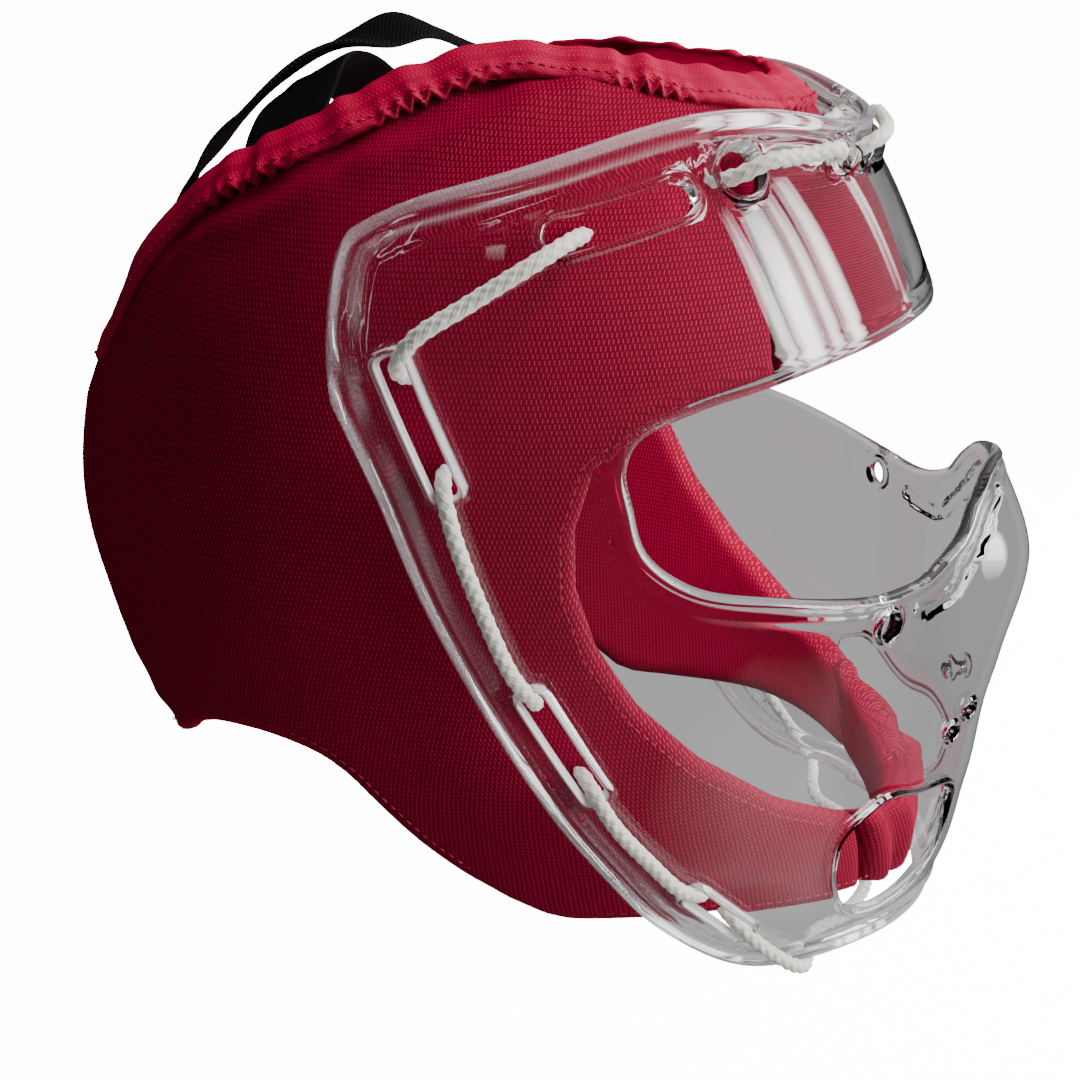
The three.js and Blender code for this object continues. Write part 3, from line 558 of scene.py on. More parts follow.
# Distance over the form from points to the nearest rim, and which rim it is
def rim_distance(rim_points, rim_loop, rim_tree, points):
    place, gap = nearest(rim_tree, points)
    for step in (-1, 1):
        other = (place + step) % len(rim_points)
        start = rim_points[place]
        along = rim_points[other] - start
        length = np.linalg.norm(along, axis=1)
        share = np.clip(((points - start) * along).sum(1) / np.maximum(length, 1e-9) ** 2, 0, 1)
        reach = np.linalg.norm(start + along * share[:, None] - points, axis=1)
        joined = (length < 1.0) & (rim_loop[place] == rim_loop[other])
        gap = np.where(joined, np.minimum(gap, reach), gap)
    return gap, rim_loop[place]


def closed_panel(name, cut, form, outer, inner, rounding, material, uv_of, frost_and_gleam_of=None):
    verts, faces, rim, rim_loop = cut
    angle, z = verts.T
    rim_points = form(*rim.T)
    rim_tree = tree_of(rim_points)

    def both_faces(angle, z):
        gap, loop = rim_distance(rim_points, rim_loop, rim_tree, form(angle, z))
        fullness = np.sqrt(np.clip(1 - np.clip(1 - gap / rounding, 0, 1) ** 2, 0, 1))[:, None]
        outside = outer(angle, z)
        inside = inner(angle, z)
        middle = (outside + inside) / 2
        return middle + (outside - middle) * fullness, middle + (inside - middle) * fullness, gap, loop

    top, bottom, gap, loop = both_faces(angle, z)
    count = len(verts)
    on_edge = gap < 1e-3
    faces = faces[~on_edge[faces].all(axis=1)]
    lower = np.where(on_edge, np.arange(count), np.arange(count) + count)
    used = np.append(np.ones(count, bool), ~on_edge)
    renumber = np.cumsum(used) - 1
    a, b, c = faces[np.argmax(gap[faces].min(axis=1))]
    outward = np.dot(np.cross(top[b] - top[a], top[c] - top[a]), top[a] - bottom[a]) > 0
    front = faces if outward else faces[:, ::-1]
    back = lower[front[:, ::-1]]
    made = make_object(name, np.vstack([top, bottom])[used], renumber[np.vstack([front, back])], material,
                       np.tile(uv_of(angle, z), (2, 1))[used])
    if frost_and_gleam_of is None:
        welded = bmesh.new()
        welded.from_mesh(made.data)
        bmesh.ops.remove_doubles(welded, verts=welded.verts, dist=1e-6)
        welded.to_mesh(made.data)
        welded.free()
        made.data.shade_smooth()
        return made
    # The frost attribute: real white frosting on the slot lips, and painted highlight lines along the rims
    frost_and_gleam = np.tile(frost_and_gleam_of(gap, loop), 2)[used]
    made.data.attributes.new("frost_and_gleam", "FLOAT", "POINT").data.foreach_set("value", frost_and_gleam)
    # Clear plastic shows every uneven normal, so they come from the form, except at its sharp edges
    small_turn, small_rise, edge_reach = 0.03, 0.05, 0.3
    turned = both_faces(angle + small_turn, z)
    lifted = both_faces(angle, z + small_rise)
    exact = []
    for start, across, up, sign in zip((top, bottom), turned, lifted, (1, -1)):
        normal = unit(np.cross(up - start, across - start))
        exact.append(normal * np.sign((normal * (top - bottom)).sum(1) * sign)[:, None])
    exact = np.vstack(exact)[used]
    plain = np.zeros(3 * len(made.data.vertices))
    made.data.vertex_normals.foreach_get("vector", plain)
    plain = plain.reshape(-1, 3)
    trusted = (np.tile(gap, 2)[used] > edge_reach) & ((exact * plain).sum(1) > 0.5)
    made.data.normals_split_custom_set_from_vertices(np.where(trusted[:, None], exact, plain).tolist())
    return made


# Warp knit: rows of small upright stitches, staggered like bricks. Each stitch is painted lighter than the
# ground between them. This is partly the knit's own pattern and partly a painted highlight on the stitch, with
# painted shade in the ground. Crimson; depth scales the whole colour of a copy of the knit, so a copy is
# painted lighter or darker by the light that falls on it.
def knit_material(name, stitch_width, stitch_height, ribs=0.0, gloss=0.07, depth=1.0):
    material, nodes = new_material(name)
    place = nodes.place("UV")
    across = nodes.add("ShaderNodeSeparateXYZ", {}, [place])
    wander = nodes.noise(place, 160.0) - 0.5
    row = across.output("Y") / (stitch_height * MM) + wander * 0.35
    odd = (row / 2).math("FRACT").math("GREATER_THAN", 0.5)
    stitch = (across / (stitch_width * MM) + odd * 0.5 + wander * 0.3).math("FRACT") - 0.5
    rung = row.math("FRACT") - 0.5
    loop = 1 - nodes.ramp(stitch.math("ABSOLUTE"), 0.06, 0.27)
    bead = loop * (1 - nodes.ramp(rung.math("ABSOLUTE"), 0.28, 0.46))
    rib = (row * 2 * math.pi).math("SINE") * 0.5 + 0.5
    relief = bead * (1 - ribs) + rib * ribs
    cloud = nodes.noise(place, 22.0, 4.0)
    # The dye's colour times depth: above 1 the copy is painted lighter as painted light, below 1 painted
    # darker as painted shade
    dye_and_painted_light = nodes.mix(cloud, (0.12 * depth, 0.0, 0.011 * depth, 1), (0.165 * depth, 0.0, 0.015 * depth, 1))
    lit = min(depth, 1)
    # Stitches painted towards a pinkish red: partly their own pattern, partly a painted highlight
    stitches_and_painted_highlight = nodes.mix(relief * 0.8, dye_and_painted_light, (0.42 * lit, 0.001, 0.045 * lit, 1))
    nodes.surface(nodes.principled({
        "Base Color": stitches_and_painted_highlight, "Roughness": 0.75 - relief * 0.25, "Specular IOR Level": gloss,
        "Normal": nodes.bump(0.5, 0.0003, relief)}))
    return material


red_knit = knit_material("red_knit", 0.98, 1.25)


# Where the mask ends, and with it the smooth part of the hood
mask_top_edge = [
    (0, 0.715), (20, 0.738), (33, 0.778), (48.7, 0.788), (58.6, 0.765), (69.5, 0.717), (76.6, 0.68),
    (83.6, 0.648), (91.6, 0.6),
]
mask_rear_edge = [
    (71.5, -0.652), (74.3, -0.546), (77.2, -0.433), (82.4, -0.251), (86.2, -0.088), (89.7, 0.139),
    (91.2, 0.36), (91.6, 0.6),
]
# A long soft fold runs round the crown just below the hem
crown_fold = [
    (0, 0.7), (35, 0.76), (53, 0.812), (67.5, 0.812), (77.6, 0.777), (86.9, 0.721), (97.8, 0.672),
    (111.5, 0.568), (123.7, 0.498), (136, 0.33), (150, 0.08), (180, -0.04),
]
mask_rear_turns, mask_rear_heights = np.array(mask_rear_edge).T
gather_count = 34
gather_rise = 0.5
gather_fade = 6
fold_rise = 2.3
groove_depth = 2.0
slack_rise = 0.8
nape_roll = 1.3


# How free the hood is of the mask, which presses it smooth
def outside_mask(angle, z):
    turn = np.abs(angle)
    behind = smoothstep(turn - between(mask_rear_heights, mask_rear_turns, share_of(z)), 1.5, 12)
    above = smoothstep(z - edge_level(mask_top_edge, turn), 1.5, 9) * smoothstep(turn, 30, 55)
    return np.maximum(behind, above)


def hood_outer(angle, z):
    turn = np.abs(angle)
    base = hood_form(angle, z)
    below_crown = np.clip(crown_level(angle) - z, 0, None)
    gathers = np.cos(np.radians(angle) * gather_count + 4.0 * ripple(base, 50, 3))
    gathers = gathers * np.exp(-below_crown / gather_fade) * gather_rise
    from_fold = z - edge_level(crown_fold, angle) + 2.5 * ripple(base, 60, 12)
    strength = (0.75 + 0.7 * ripple(base, 70, 15)) * (1 - smoothstep(turn, 115, 140))
    fold = strength * (fold_rise * np.exp(-(from_fold / 3.2) ** 2)
                       - groove_depth * np.exp(-((from_fold - 6.5) / 3.5) ** 2))
    slack = slack_rise * ripple(base, 75, 5) + slack_rise / 2 * ripple(base, 35, 6)
    above_neck = z - edge_level(hood_lower_edge, angle)
    nape = nape_roll * np.cos(above_neck * 0.5) * np.exp(-above_neck / 9) * smoothstep(turn, 120, 150)
    nape = nape * smoothstep(above_neck, -1, 5)
    return raised(hood_form, angle, z, (gathers + fold + slack) * outside_mask(angle, z) + nape)


def hood_inner(angle, z):
    fade = smoothstep(crown_level(angle) - z, 0, crown_taper)
    return raised(hood_form, angle, z, -(crown_edge_wall + (hood_wall - crown_edge_wall) * fade))


# The hood's cut runs round the rear from one chin seam to the other, and over the forehead
crown_line = [(float(turn), float(crown_level(turn))) for turn in np.linspace(-180, 180, 181)]
seam_level = float(level_of(pad_top))
lower_line = edge_line(hood_lower_edge, np.linspace(chin_half_angle, 180, 61))
face_line = [(0.0, seam_level), (pad_half_angle, seam_level), (pad_half_angle, float(level_of(brow_corner)))]
face_line += at_side(face_edge, 1) + [(chin_half_angle, float(level_of(chin_corner)))]
right_line = face_line + lower_line
hood_outline = divided(crown_line + right_line[::-1] + [(-turn, z) for turn, z in right_line[1:]])
hood_cut = cut_panel([hood_outline], spacing=2.2, edge_rows=[0.5, 1.3, 2.6])
hood = closed_panel("hood_padding", hood_cut, hood_form, hood_outer, hood_inner, hood_rounding, red_knit,
                    knit_map)
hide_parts("hood_shell")
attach(hood, "root")


# Stitch rows: red thread sewn through the knit beside the turned edges of the face opening and the neck.
# Each stitch is a small rounded bar of thread, laid along a path over the knit.
def stitch_tree():
    tree = bpy.data.node_groups.new("stitch_row", "GeometryNodeTree")
    sizes = {}
    tree.interface.new_socket(name="Geometry", in_out="INPUT", socket_type="NodeSocketGeometry")
    for label in ("Pitch", "Stitch length", "Thread width"):
        made = tree.interface.new_socket(name=label, in_out="INPUT", socket_type="NodeSocketFloat")
        sizes[label] = made.identifier
    made = tree.interface.new_socket(name="Thread", in_out="INPUT", socket_type="NodeSocketMaterial")
    sizes["Thread"] = made.identifier
    tree.interface.new_socket(name="Geometry", in_out="OUTPUT", socket_type="NodeSocketGeometry")
    nodes = Nodes(tree)
    given = nodes.add("NodeGroupInput")
    pitch, length, width, thread = (given.output(k) for k in (1, 2, 3, 4))
    curve = nodes.add("GeometryNodeMeshToCurve", {}, {"Mesh": given})
    points = nodes.add("GeometryNodeCurveToPoints", {"mode": "LENGTH"}, {"Curve": curve, "Length": pitch})
    bar = nodes.add("GeometryNodeMeshUVSphere", {}, {"Segments": 6, "Rings": 4, "Radius": 0.5})
    size = nodes.add("ShaderNodeCombineXYZ", {}, [width, width, length])
    laid = nodes.add("GeometryNodeInstanceOnPoints", {}, {
        "Points": points, "Instance": bar, "Rotation": points.output("Rotation"), "Scale": size})
    real = nodes.add("GeometryNodeRealizeInstances", {}, {"Geometry": laid})
    finished = nodes.add("GeometryNodeSetMaterial", {}, {"Geometry": real, "Material": thread})
    output = tree.nodes.new("NodeGroupOutput")
    tree.links.new(finished.socket, output.inputs[0])
    return tree, sizes


stitch_group, stitch_sizes = stitch_tree()


def stitch_rows(name, paths, pitch, length, width):
    mesh = bpy.data.meshes.new(name)
    points = []
    edges = []
    for path in paths:
        edges.extend((len(points) + k, len(points) + k + 1) for k in range(len(path) - 1))
        points.extend(tuple(point) for point in np.asarray(path) * MM)
    mesh.from_pydata(points, edges, [])
    row = placed(name, mesh)
    modifier = row.modifiers.new("stitches", "NODES")
    modifier.node_group = stitch_group
    for label, value in (("Pitch", pitch * MM), ("Stitch length", length * MM), ("Thread width", width * MM),
                         ("Thread", red_thread)):
        modifier[stitch_sizes[label]] = value
    bpy.context.view_layer.update()
    solid = bpy.data.meshes.new_from_object(row.evaluated_get(bpy.context.evaluated_depsgraph_get()))
    row.modifiers.clear()
    row.data = solid
    solid.shade_smooth()
    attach(row, "root")


def thread_material():
    material, nodes = new_material("red_thread")
    tone = nodes.mix(nodes.noise(nodes.place("Object"), 600.0), (0.16, 0.0, 0.014, 1), (0.4, 0.006, 0.045, 1))
    nodes.surface(nodes.principled({"Base Color": tone, "Roughness": 0.5, "Specular IOR Level": 0.4}))
    return material


red_thread = thread_material()


def row_along(line, inset, rise):
    line = np.asarray(divided(line, 1.0, 1.5, False), float)
    base = hood_form(line[:, 0], line[:, 1])
    normal = normal_of(hood_form, line[:, 0], line[:, 1])
    ahead = unit(np.gradient(base, axis=0))
    return (base + unit(np.cross(normal, ahead)) * inset + normal * rise)[1:-1]


face_inset = 3.4
neck_inset = 4.5
face_rows = []
for side in (1, -1):
    face_rows.append(row_along(at_side(face_edge, side), -face_inset * side, -0.1))
    face_rows.append(row_along([(side * turn, z) for turn, z in lower_line], -neck_inset * side, -0.05))
stitch_rows("edge_stitches", face_rows, pitch=2.6, length=1.9, width=0.4)


# Forehead pad: a thicker quilted block of foam sewn in over the brow and covered in the same knit, its
# ribs lying level. It fills the space up to the mask, which rests on it.
brow_edge = [(0, 0.2), (18, 0.215), (41, 0.2), (55, 0.16)]
pad_crown_share = 0.9
pad_crown_power = 6
pad_rounding = 5.0
mask_wall = 3
mask_fit = 0.8
mask_stand_off = 12.4
widest_shift = 6
nose_rise = 19
nose_half_width = 20
# Height share, then stand off, flare and nose ridge as shares of their sizes
mask_rows = [
    (-1, 0, 0, 0), (-0.85, 0, 0, 0.06), (-0.73, 0.12, 0, 0.24), (-0.606, 0.1, 0, 0.45),
    (-0.394, 0.76, 0, 0.82), (-0.242, 1, 0, 1), (-0.091, 0.84, 0, 0.6), (0.114, 0.68, 0, 0),
    (0.398, 0.35, 0.012, 0), (0.568, 0.31, 0.018, 0), (0.705, 0.4, 0.035, 0), (0.852, 0.76, 0.06, 0),
]


# The mask's outer form: the hood's, moved out by the clearances, with the nose ridge down its middle
def mask_form(angle, z):
    width, front, widest, rear, square = hood_section(z)
    stand_off, flare, nose = columns_at(mask_rows, share_of(z))
    clear = mask_fit + mask_wall
    width = width + clear + hood_half_width * flare
    front = front - clear - mask_stand_off * stand_off
    point = section_point(angle, z, width, front, widest + widest_shift, rear + clear, square + 0.1)
    point[..., 1] -= nose_rise * nose * np.exp(-(point[..., 0] / nose_half_width) ** 2)
    return point


def padding_face(angle, z):
    low = edge_level(brow_edge, angle)
    up_share = np.clip((z - low) / (seam_level - low), 0, 1) * 2 - 1
    across_share = np.minimum(np.abs(angle) / pad_half_angle, 1)
    crown = pad_crown_share * (1 - across_share ** pad_crown_power) * (1 - np.abs(up_share) ** pad_crown_power)
    full = raised(mask_form, angle, z, -(mask_wall + mask_fit))
    plain = hood_form(angle, z)
    return plain + (full - plain) * crown[..., None]


def pad_outer(angle, z):
    face = padding_face(angle, z)
    return face + normal_of(hood_form, angle, z) * (0.35 * ripple(face, 30, 21) - 0.3)[:, None]


def pad_inner(angle, z):
    return raised(hood_form, angle, z, -hood_wall)


pad_side = pad_half_angle - seam_angle
pad_top_level = seam_level - 0.35
pad_lower = edge_line(brow_edge, np.linspace(-pad_side, pad_side, 60))
pad_outline = divided(pad_lower + [(pad_side, pad_top_level), (-pad_side, pad_top_level)])
# The pad's copy of the knit is painted darker (depth 0.6): painted shade
pad_knit = knit_material("pad_knit", 0.98, 0.62, ribs=0.75, gloss=0.05, depth=0.6)
pad_cut = cut_panel([pad_outline], spacing=1.8, edge_rows=[0.5, 1.2, 2.2])
pad = closed_panel("forehead_padding", pad_cut, hood_form, pad_outer, pad_inner, pad_rounding, pad_knit,
                   knit_map)
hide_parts("forehead_pad")
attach(pad, "root")

# Two rows of topstitching cross the pad, along its lower edge and along its upper one
pad_row_inset = 6.5
turns = np.linspace(-38, 38, 90)
pad_rows = []
for z in (edge_level(brow_edge, turns) + pad_row_inset, 0 * turns + seam_level - pad_row_inset):
    pad_rows.append(padding_face(turns, z) + normal_of(hood_form, turns, z) * -0.35)
stitch_rows("pad_stitches", pad_rows, pitch=2.5, length=1.8, width=0.4)


# Chin cup: a softer panel of the same padded knit, sewn in between the jaw sides. The seams at both ends
# gather it into upright folds.
chin_top_edge = [(0, -0.6), (16, -0.588), (31, -0.548)]
chin_bottom_edge = [(0, -0.75), (16, -0.735), (31, -0.705)]
chin_rounding = 4.0
chin_puff = 1.5
fold_depth = 1.5
fold_count = 30


def chin_swell(angle, z):
    top = edge_level(chin_top_edge, angle)
    low = edge_level(chin_bottom_edge, angle)
    up = np.clip((z - low) / (top - low), 0, 1)
    across = np.clip((angle / chin_half_angle + 1) / 2, 0, 1)
    puff = chin_puff * np.sin(math.pi * across) * np.sin(math.pi * up)
    folds = fold_depth * np.sin(np.radians(angle) * fold_count + 2.2 * ripple(hood_form(angle, z), 30, 31))
    return puff, folds * smoothstep(np.abs(angle), 2, 20)


def chin_outer(angle, z):
    puff, folds = chin_swell(angle, z)
    return raised(hood_form, angle, z, puff + folds)


def chin_inner(angle, z):
    return raised(hood_form, angle, z, -(hood_wall + chin_swell(angle, z)[0]))


chin_side = chin_half_angle - seam_angle
chin_turns = np.linspace(-chin_side, chin_side, 40)
chin_outline = divided(edge_line(chin_bottom_edge, chin_turns) + edge_line(chin_top_edge, chin_turns[::-1]))
chin_cut = cut_panel([chin_outline], spacing=1.6, edge_rows=[0.5, 1.2, 2.2])
chin = closed_panel("chin_padding", chin_cut, hood_form, chin_outer, chin_inner, chin_rounding, red_knit,
                    knit_map)
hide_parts("chin_cup")
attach(chin, "root")


# Crown hem: a casing of the same knit, sewn along the crown opening. The elastic inside it gathers it
# into uneven puckers all the way round, and its lower edge into a frill.
hem_height = 12.5
hem_thickness = 3.6
hem_overlap = 3.0
pucker_depth = 0.7
pucker_count = 26
crease_count = 47
frill_depth = 0.8
frill_count = 118
rib_depth = 0.13
hem_corner = 0.75
hem_turns = 1200
hem_sides = 34


def crown_point(angle):
    return hood_form(from_front(angle), crown_level(angle))


# A sine or cosine pressed out towards a square section
def squared(value, corner):
    return np.sign(value) * np.abs(value) ** corner


def hem_surface(turns, sections):
    turn, section = np.meshgrid(turns, sections, indexing="ij")
    edge = crown_point(turn)
    wrapped = from_front(turn)
    out = normal_of(hood_form, wrapped, crown_level(wrapped))
    ahead = unit(crown_point(turn + 1) - crown_point(turn - 1))
    up = unit(np.cross(ahead, out))
    wander = ripple(edge, 45, 41)
    phase = np.radians(turn) * pucker_count + 5.0 * wander
    pucker = np.sin(phase) * 0.6 + np.sin(np.radians(turn) * crease_count + 6 * wander) * 0.4
    swell = pucker_depth * (0.6 * pucker + 1.2 * ripple(edge, 60, 43))
    rise = squared(np.sin(section), hem_corner)
    face = squared(np.cos(section), hem_corner)
    lower = np.clip(-rise, 0, 1) ** 2 * (1 - smoothstep(np.abs(wrapped), 125, 145))
    frill = lower * frill_depth * np.sin(np.radians(turn) * frill_count + 9 * wander)
    frill = frill * (0.6 + 0.7 * np.sin(phase * 0.37))
    ribs = rib_depth * np.cos(rise * 17 + 2.0 * wander)
    tall = hem_height / 2 + swell * 0.7 * (rise > 0) - 0.6 * frill
    thick = hem_thickness / 2 + 0.3 * pucker
    lean = crown_edge_wall * (1 - rise) / 4 + 0.6 * lower + swell * 0.9 + frill + ribs * (face > 0)
    seat = hem_height / 2 - hem_overlap
    return (edge + up * (seat + tall * rise)[..., None]
            + out * (-crown_edge_wall / 2 + thick * face + lean)[..., None])


# The faces of a grid of points that is closed round each row, and as a ring from the last row to the first
def grid_faces(rows, columns, ring):
    faces = []
    for i in range(rows if ring else rows - 1):
        for j in range(columns):
            here = i * columns
            there = (i + 1) % rows * columns
            after = (j + 1) % columns
            faces.append((here + j, here + after, there + after, there + j))
    return faces


# The hem's copy of the knit is painted lighter (depth 2.3): painted light
hem_knit = knit_material("hem_knit", 0.9, 0.7, ribs=0.3, gloss=0.14, depth=2.3)
turns = np.linspace(-180, 180, hem_turns, endpoint=False)
sections = round_turn(hem_sides)
hem_points = hem_surface(turns, sections)
hem_along = lengths_along(hem_points[:, 0])
hem_round = sections / (2 * math.pi) * 2 * (hem_height + hem_thickness) * 0.8
hem_uv = np.stack(np.meshgrid(hem_along, hem_round, indexing="ij"), -1).reshape(-1, 2) * MM
hem = make_object("crown_casing", hem_points.reshape(-1, 3), grid_faces(hem_turns, hem_sides, True), hem_knit,
                  hem_uv)
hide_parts("crown_hem")
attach(hem, "root")

# The casing is topstitched along its outer face, just above its lower edge
row_section = -0.72
hem_turn = np.linspace(-180, 180, hem_turns + 1)
hem_row = hem_surface(hem_turn, np.array([row_section]))[:, 0]
hem_row = hem_row + normal_of(hood_form, hem_turn, crown_level(hem_turn)) * 0.1
stitch_rows("hem_stitches", [hem_row], pitch=2.2, length=1.5, width=0.5)


# Crown straps: two flat bands of black woven elastic, sewn inside the hem at both ends and stretched over
# the crown, the long one above the cross one.
strap_width = 20
strap_thickness = 1.6
strap_clearance = 1.5
strap_turn_share = 0.25
strap_steps = 220
strap_sides = 28
woven_row = 0.0011
woven_cord = 0.0016
# Name, the angles of both ends, and rows of a share of the way, the rise and the tilt
straps = [
    ("crown_strap_long", 145, -62, [
        (0, 0, 35), (0.08, 0.269, 32), (0.17, 0.37, 29), (0.25, 0.431, 27), (0.33, 0.449, 18),
        (0.42, 0.428, -5), (0.5, 0.419, -12), (0.58, 0.339, -12), (0.67, 0.243, -10), (0.83, 0.127, -5),
        (1, 0, 0)]),
    ("crown_strap_cross", 119, -122, [
        (0, 0, 10), (0.08, 0.093, 16), (0.17, 0.157, 22), (0.25, 0.198, 28), (0.33, 0.219, 30),
        (0.42, 0.226, 24), (0.5, 0.224, 18), (0.6, 0.205, 15), (0.75, 0.164, 9), (0.9, 0.082, 4), (1, 0, 0)]),
]


def elastic_material():
    material, nodes = new_material("black_elastic")
    place = nodes.place("UV")
    across = nodes.add("ShaderNodeSeparateXYZ", {}, [place])
    rows = (across / (woven_row / (2 * math.pi))).math("SINE")
    cords = (across.output("Y") / (woven_cord / (2 * math.pi))).math("SINE")
    weave = rows * cords * 0.5 + 0.5
    fluff = nodes.noise(place, 900.0, 3.0)
    tone = nodes.mix(weave * 0.6 + fluff * 0.4, (0.001, 0.001, 0.0015, 1), (0.008, 0.008, 0.01, 1))
    nodes.surface(nodes.principled({
        "Base Color": tone, "Roughness": 0.8, "Specular IOR Level": 0.06,
        "Normal": nodes.bump(0.7, 0.0003, weave + fluff * 0.5)}))
    return material


# A tube through rings of points, its ends closed by fans, with lengths along it and round it as its map
def closed_tube(name, rings, centre, along, around, material):
    steps, sides = rings.shape[:2]
    faces = grid_faces(steps, sides, False)
    last = (steps - 1) * sides
    tip = steps * sides
    for j in range(sides):
        after = (j + 1) % sides
        faces += [(after, j, tip), (last + j, last + after, tip + 1)]
    uv = np.stack(np.broadcast_arrays(along[:, None], around[None, :]), -1).reshape(-1, 2)
    return make_object(name, np.vstack([rings.reshape(-1, 3), centre[:1], centre[-1:]]), faces, material,
                       np.vstack([uv, [(0, 0), (along[-1], 0)]]))


black_elastic = elastic_material()
bow = strap_width ** 2 / (8 * hood_half_width * columns_at(hood_rows, pad_top)[0])
inset = (crown_edge_wall + hem_thickness + strap_thickness) / 2 + pucker_depth + strap_clearance + bow
for strap_name, strap_start, strap_end, strap_rows in straps:
    anchors = []
    for angle in (strap_start, strap_end):
        edge = crown_point(angle)
        tangent = unit(crown_point(angle + 1) - crown_point(angle - 1))
        out = normal_of(hood_form, np.float64(angle), crown_level(angle))
        anchors.append((edge + np.cross(tangent, out) * (hem_height / 2 - hem_overlap) - out * inset, tangent))
    start = anchors[0][0]
    straight = anchors[1][0] - start

    def strap_centre(t):
        t = np.clip(t, 0, 1)
        lift = hood_rise * columns_at(strap_rows, t)[0]
        return start + straight * t[:, None] + np.array([0, 0, 1]) * lift[:, None]

    share = np.linspace(0, 1, strap_steps)
    side = unit(np.array([-straight[1], straight[0], 0]))
    side *= np.sign(side[1])
    tilt = np.radians(columns_at(strap_rows, share)[1])[:, None]
    tilted = side * np.cos(tilt) - np.array([0, 0, 1]) * np.sin(tilt)
    held = [tangent * np.sign(tangent @ side) for _, tangent in anchors]
    nearest_end = np.where((share < 0.5)[:, None], held[0], held[1])
    centre = strap_centre(share)
    ahead = unit(strap_centre(share + 0.01) - strap_centre(share - 0.01))
    freedom = smoothstep(0.5 - np.abs(share - 0.5), 0, strap_turn_share)[:, None]
    broad = nearest_end + (tilted - nearest_end) * freedom
    broad = unit(broad - ahead * (broad * ahead).sum(1)[:, None])
    up = unit(np.cross(ahead, broad))
    turn = round_turn(strap_sides)
    wide = squared(np.cos(turn), 0.45) * strap_width / 2
    thick = squared(np.sin(turn), 0.6) * strap_thickness / 2
    length = lengths_along(centre)
    cup = 0.5 * ripple(centre, 60, 51)[:, None] * (wide[None, :] / (strap_width / 2)) ** 2
    points = centre[:, None] + broad[:, None] * wide[None, :, None]
    points = points + up[:, None] * (thick[None, :] + cup)[..., None]
    strap = closed_tube(strap_name + "_elastic", points, centre, length * MM, wide * MM, black_elastic)
    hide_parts(strap_name)
    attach(strap, "root")


# Face mask: one clear polycarbonate moulding, open at the eyes and beside the chin. A grooved flange
# stiffens its top rim, a double bead its rear and lower rim, and raised lips surround every opening.
mask_lower_edge = [
    (0, -0.8), (15, -0.79), (27, -0.78), (39, -0.775), (53, -0.78), (60, -0.775), (67, -0.73), (71.5, -0.652),
]
window_edge = [
    (0, 0.27), (17.3, 0.281), (30.4, 0.267), (40.7, 0.245), (50.6, 0.21), (57.7, 0.18), (64.4, 0.125),
    (66.3, 0.06), (65.8, -0.02), (64.1, -0.085), (59, -0.13), (49.3, -0.155), (35.6, -0.183),
    (27.9, -0.191), (19.8, -0.191), (12.8, -0.168), (8.6, -0.123), (4.1, -0.088), (0, -0.08),
]
chin_cutout = [
    (41, -0.655), (39.4, -0.561), (33.9, -0.535), (28, -0.527), (20.5, -0.55), (9.6, -0.584),
    (9.8, -0.64), (15, -0.69), (23, -0.71), (33, -0.712), (39, -0.695),
]
flute_path = [(21.9, -0.243), (17.7, -0.25), (13.5, -0.243), (10.5, -0.209), (7.4, -0.163), (4.4, -0.125)]
slot_width = 6.5
# Brow, temple, cheek and jaw slots: both ends, share of the full width, and how white the lip is
slots = [
    (53.5, 0.635, 72.1, 0.55, 1, 0), (86.7, 0.305, 82.2, -0.005, 0.72, 1),
    (76.6, -0.27, 71.1, -0.429, 0.72, 1), (64.1, -0.603, 58.3, -0.694, 0.65, 0.6),
]
# The lace's hole, two in the brow, the vent and two beside the chin: place, diameter and height of lip
holes = [
    (45.5, 0.665, 9, 1.6), (23, 0.67, 5, 0.5), (16.5, 0.668, 5, 0.5),
    (31.1, -0.236, 5.5, 0.5), (6.1, -0.467, 3, 0.5), (9.6, -0.489, 3, 0.5),
]
cutout_lip = 0.5
corner_steps = 8
hole_steps = 28
curve_steps = 7
rim_softening = 170
mask_rounding = 1.5
flange_width = 9
flange_step = 2
rim_bead = 1.5
lip_rise = 1.3


# Centripetal curve through points, closed or open, with a number of parts for each span
def smooth_path(points, parts, closed):
    points = np.asarray(points, float)
    if closed:
        points = np.vstack([points[-1:], points, points[:2]])
    else:
        points = np.vstack([2 * points[:1] - points[1:2], points, 2 * points[-1:] - points[-2:-1]])
    made = []
    for p0, p1, p2, p3 in zip(points, points[1:], points[2:], points[3:]):
        d0, d1, d2 = (max(np.linalg.norm(b - a), 1e-6) ** 0.5 for a, b in ((p0, p1), (p1, p2), (p2, p3)))
        slope1 = ((p1 - p0) / d0 - (p2 - p0) / (d0 + d1) + (p2 - p1) / d1) * d1
        slope2 = ((p2 - p1) / d1 - (p3 - p1) / (d1 + d2) + (p3 - p2) / d2) * d1
        t = np.arange(parts)[:, None] / parts
        made.append((2 * t ** 3 - 3 * t ** 2 + 1) * p1 + (t ** 3 - 2 * t ** 2 + t) * slope1
                    + (3 * t ** 2 - 2 * t ** 3) * p2 + (t ** 3 - t ** 2) * slope2)
    if not closed:
        made.append(points[-2:-1])
    return np.vstack(made)


# The place on the mask's map, angle and height, of a point near its form
def mask_place(point):
    turns = np.linspace(-110, 110, 881)
    ring = mask_form(turns, point[2] + 0 * turns)
    bearing = np.degrees(np.arctan2(-ring[:, 0], -ring[:, 1]))
    return float(np.interp(math.degrees(math.atan2(-point[0], -point[1])), bearing, turns)), float(point[2])


# A point of the mask's form and the way out from it
def mask_at(angle, height):
    angle = np.float64(angle)
    return mask_form(angle, level_of(height)), normal_of(mask_form, angle, level_of(height))


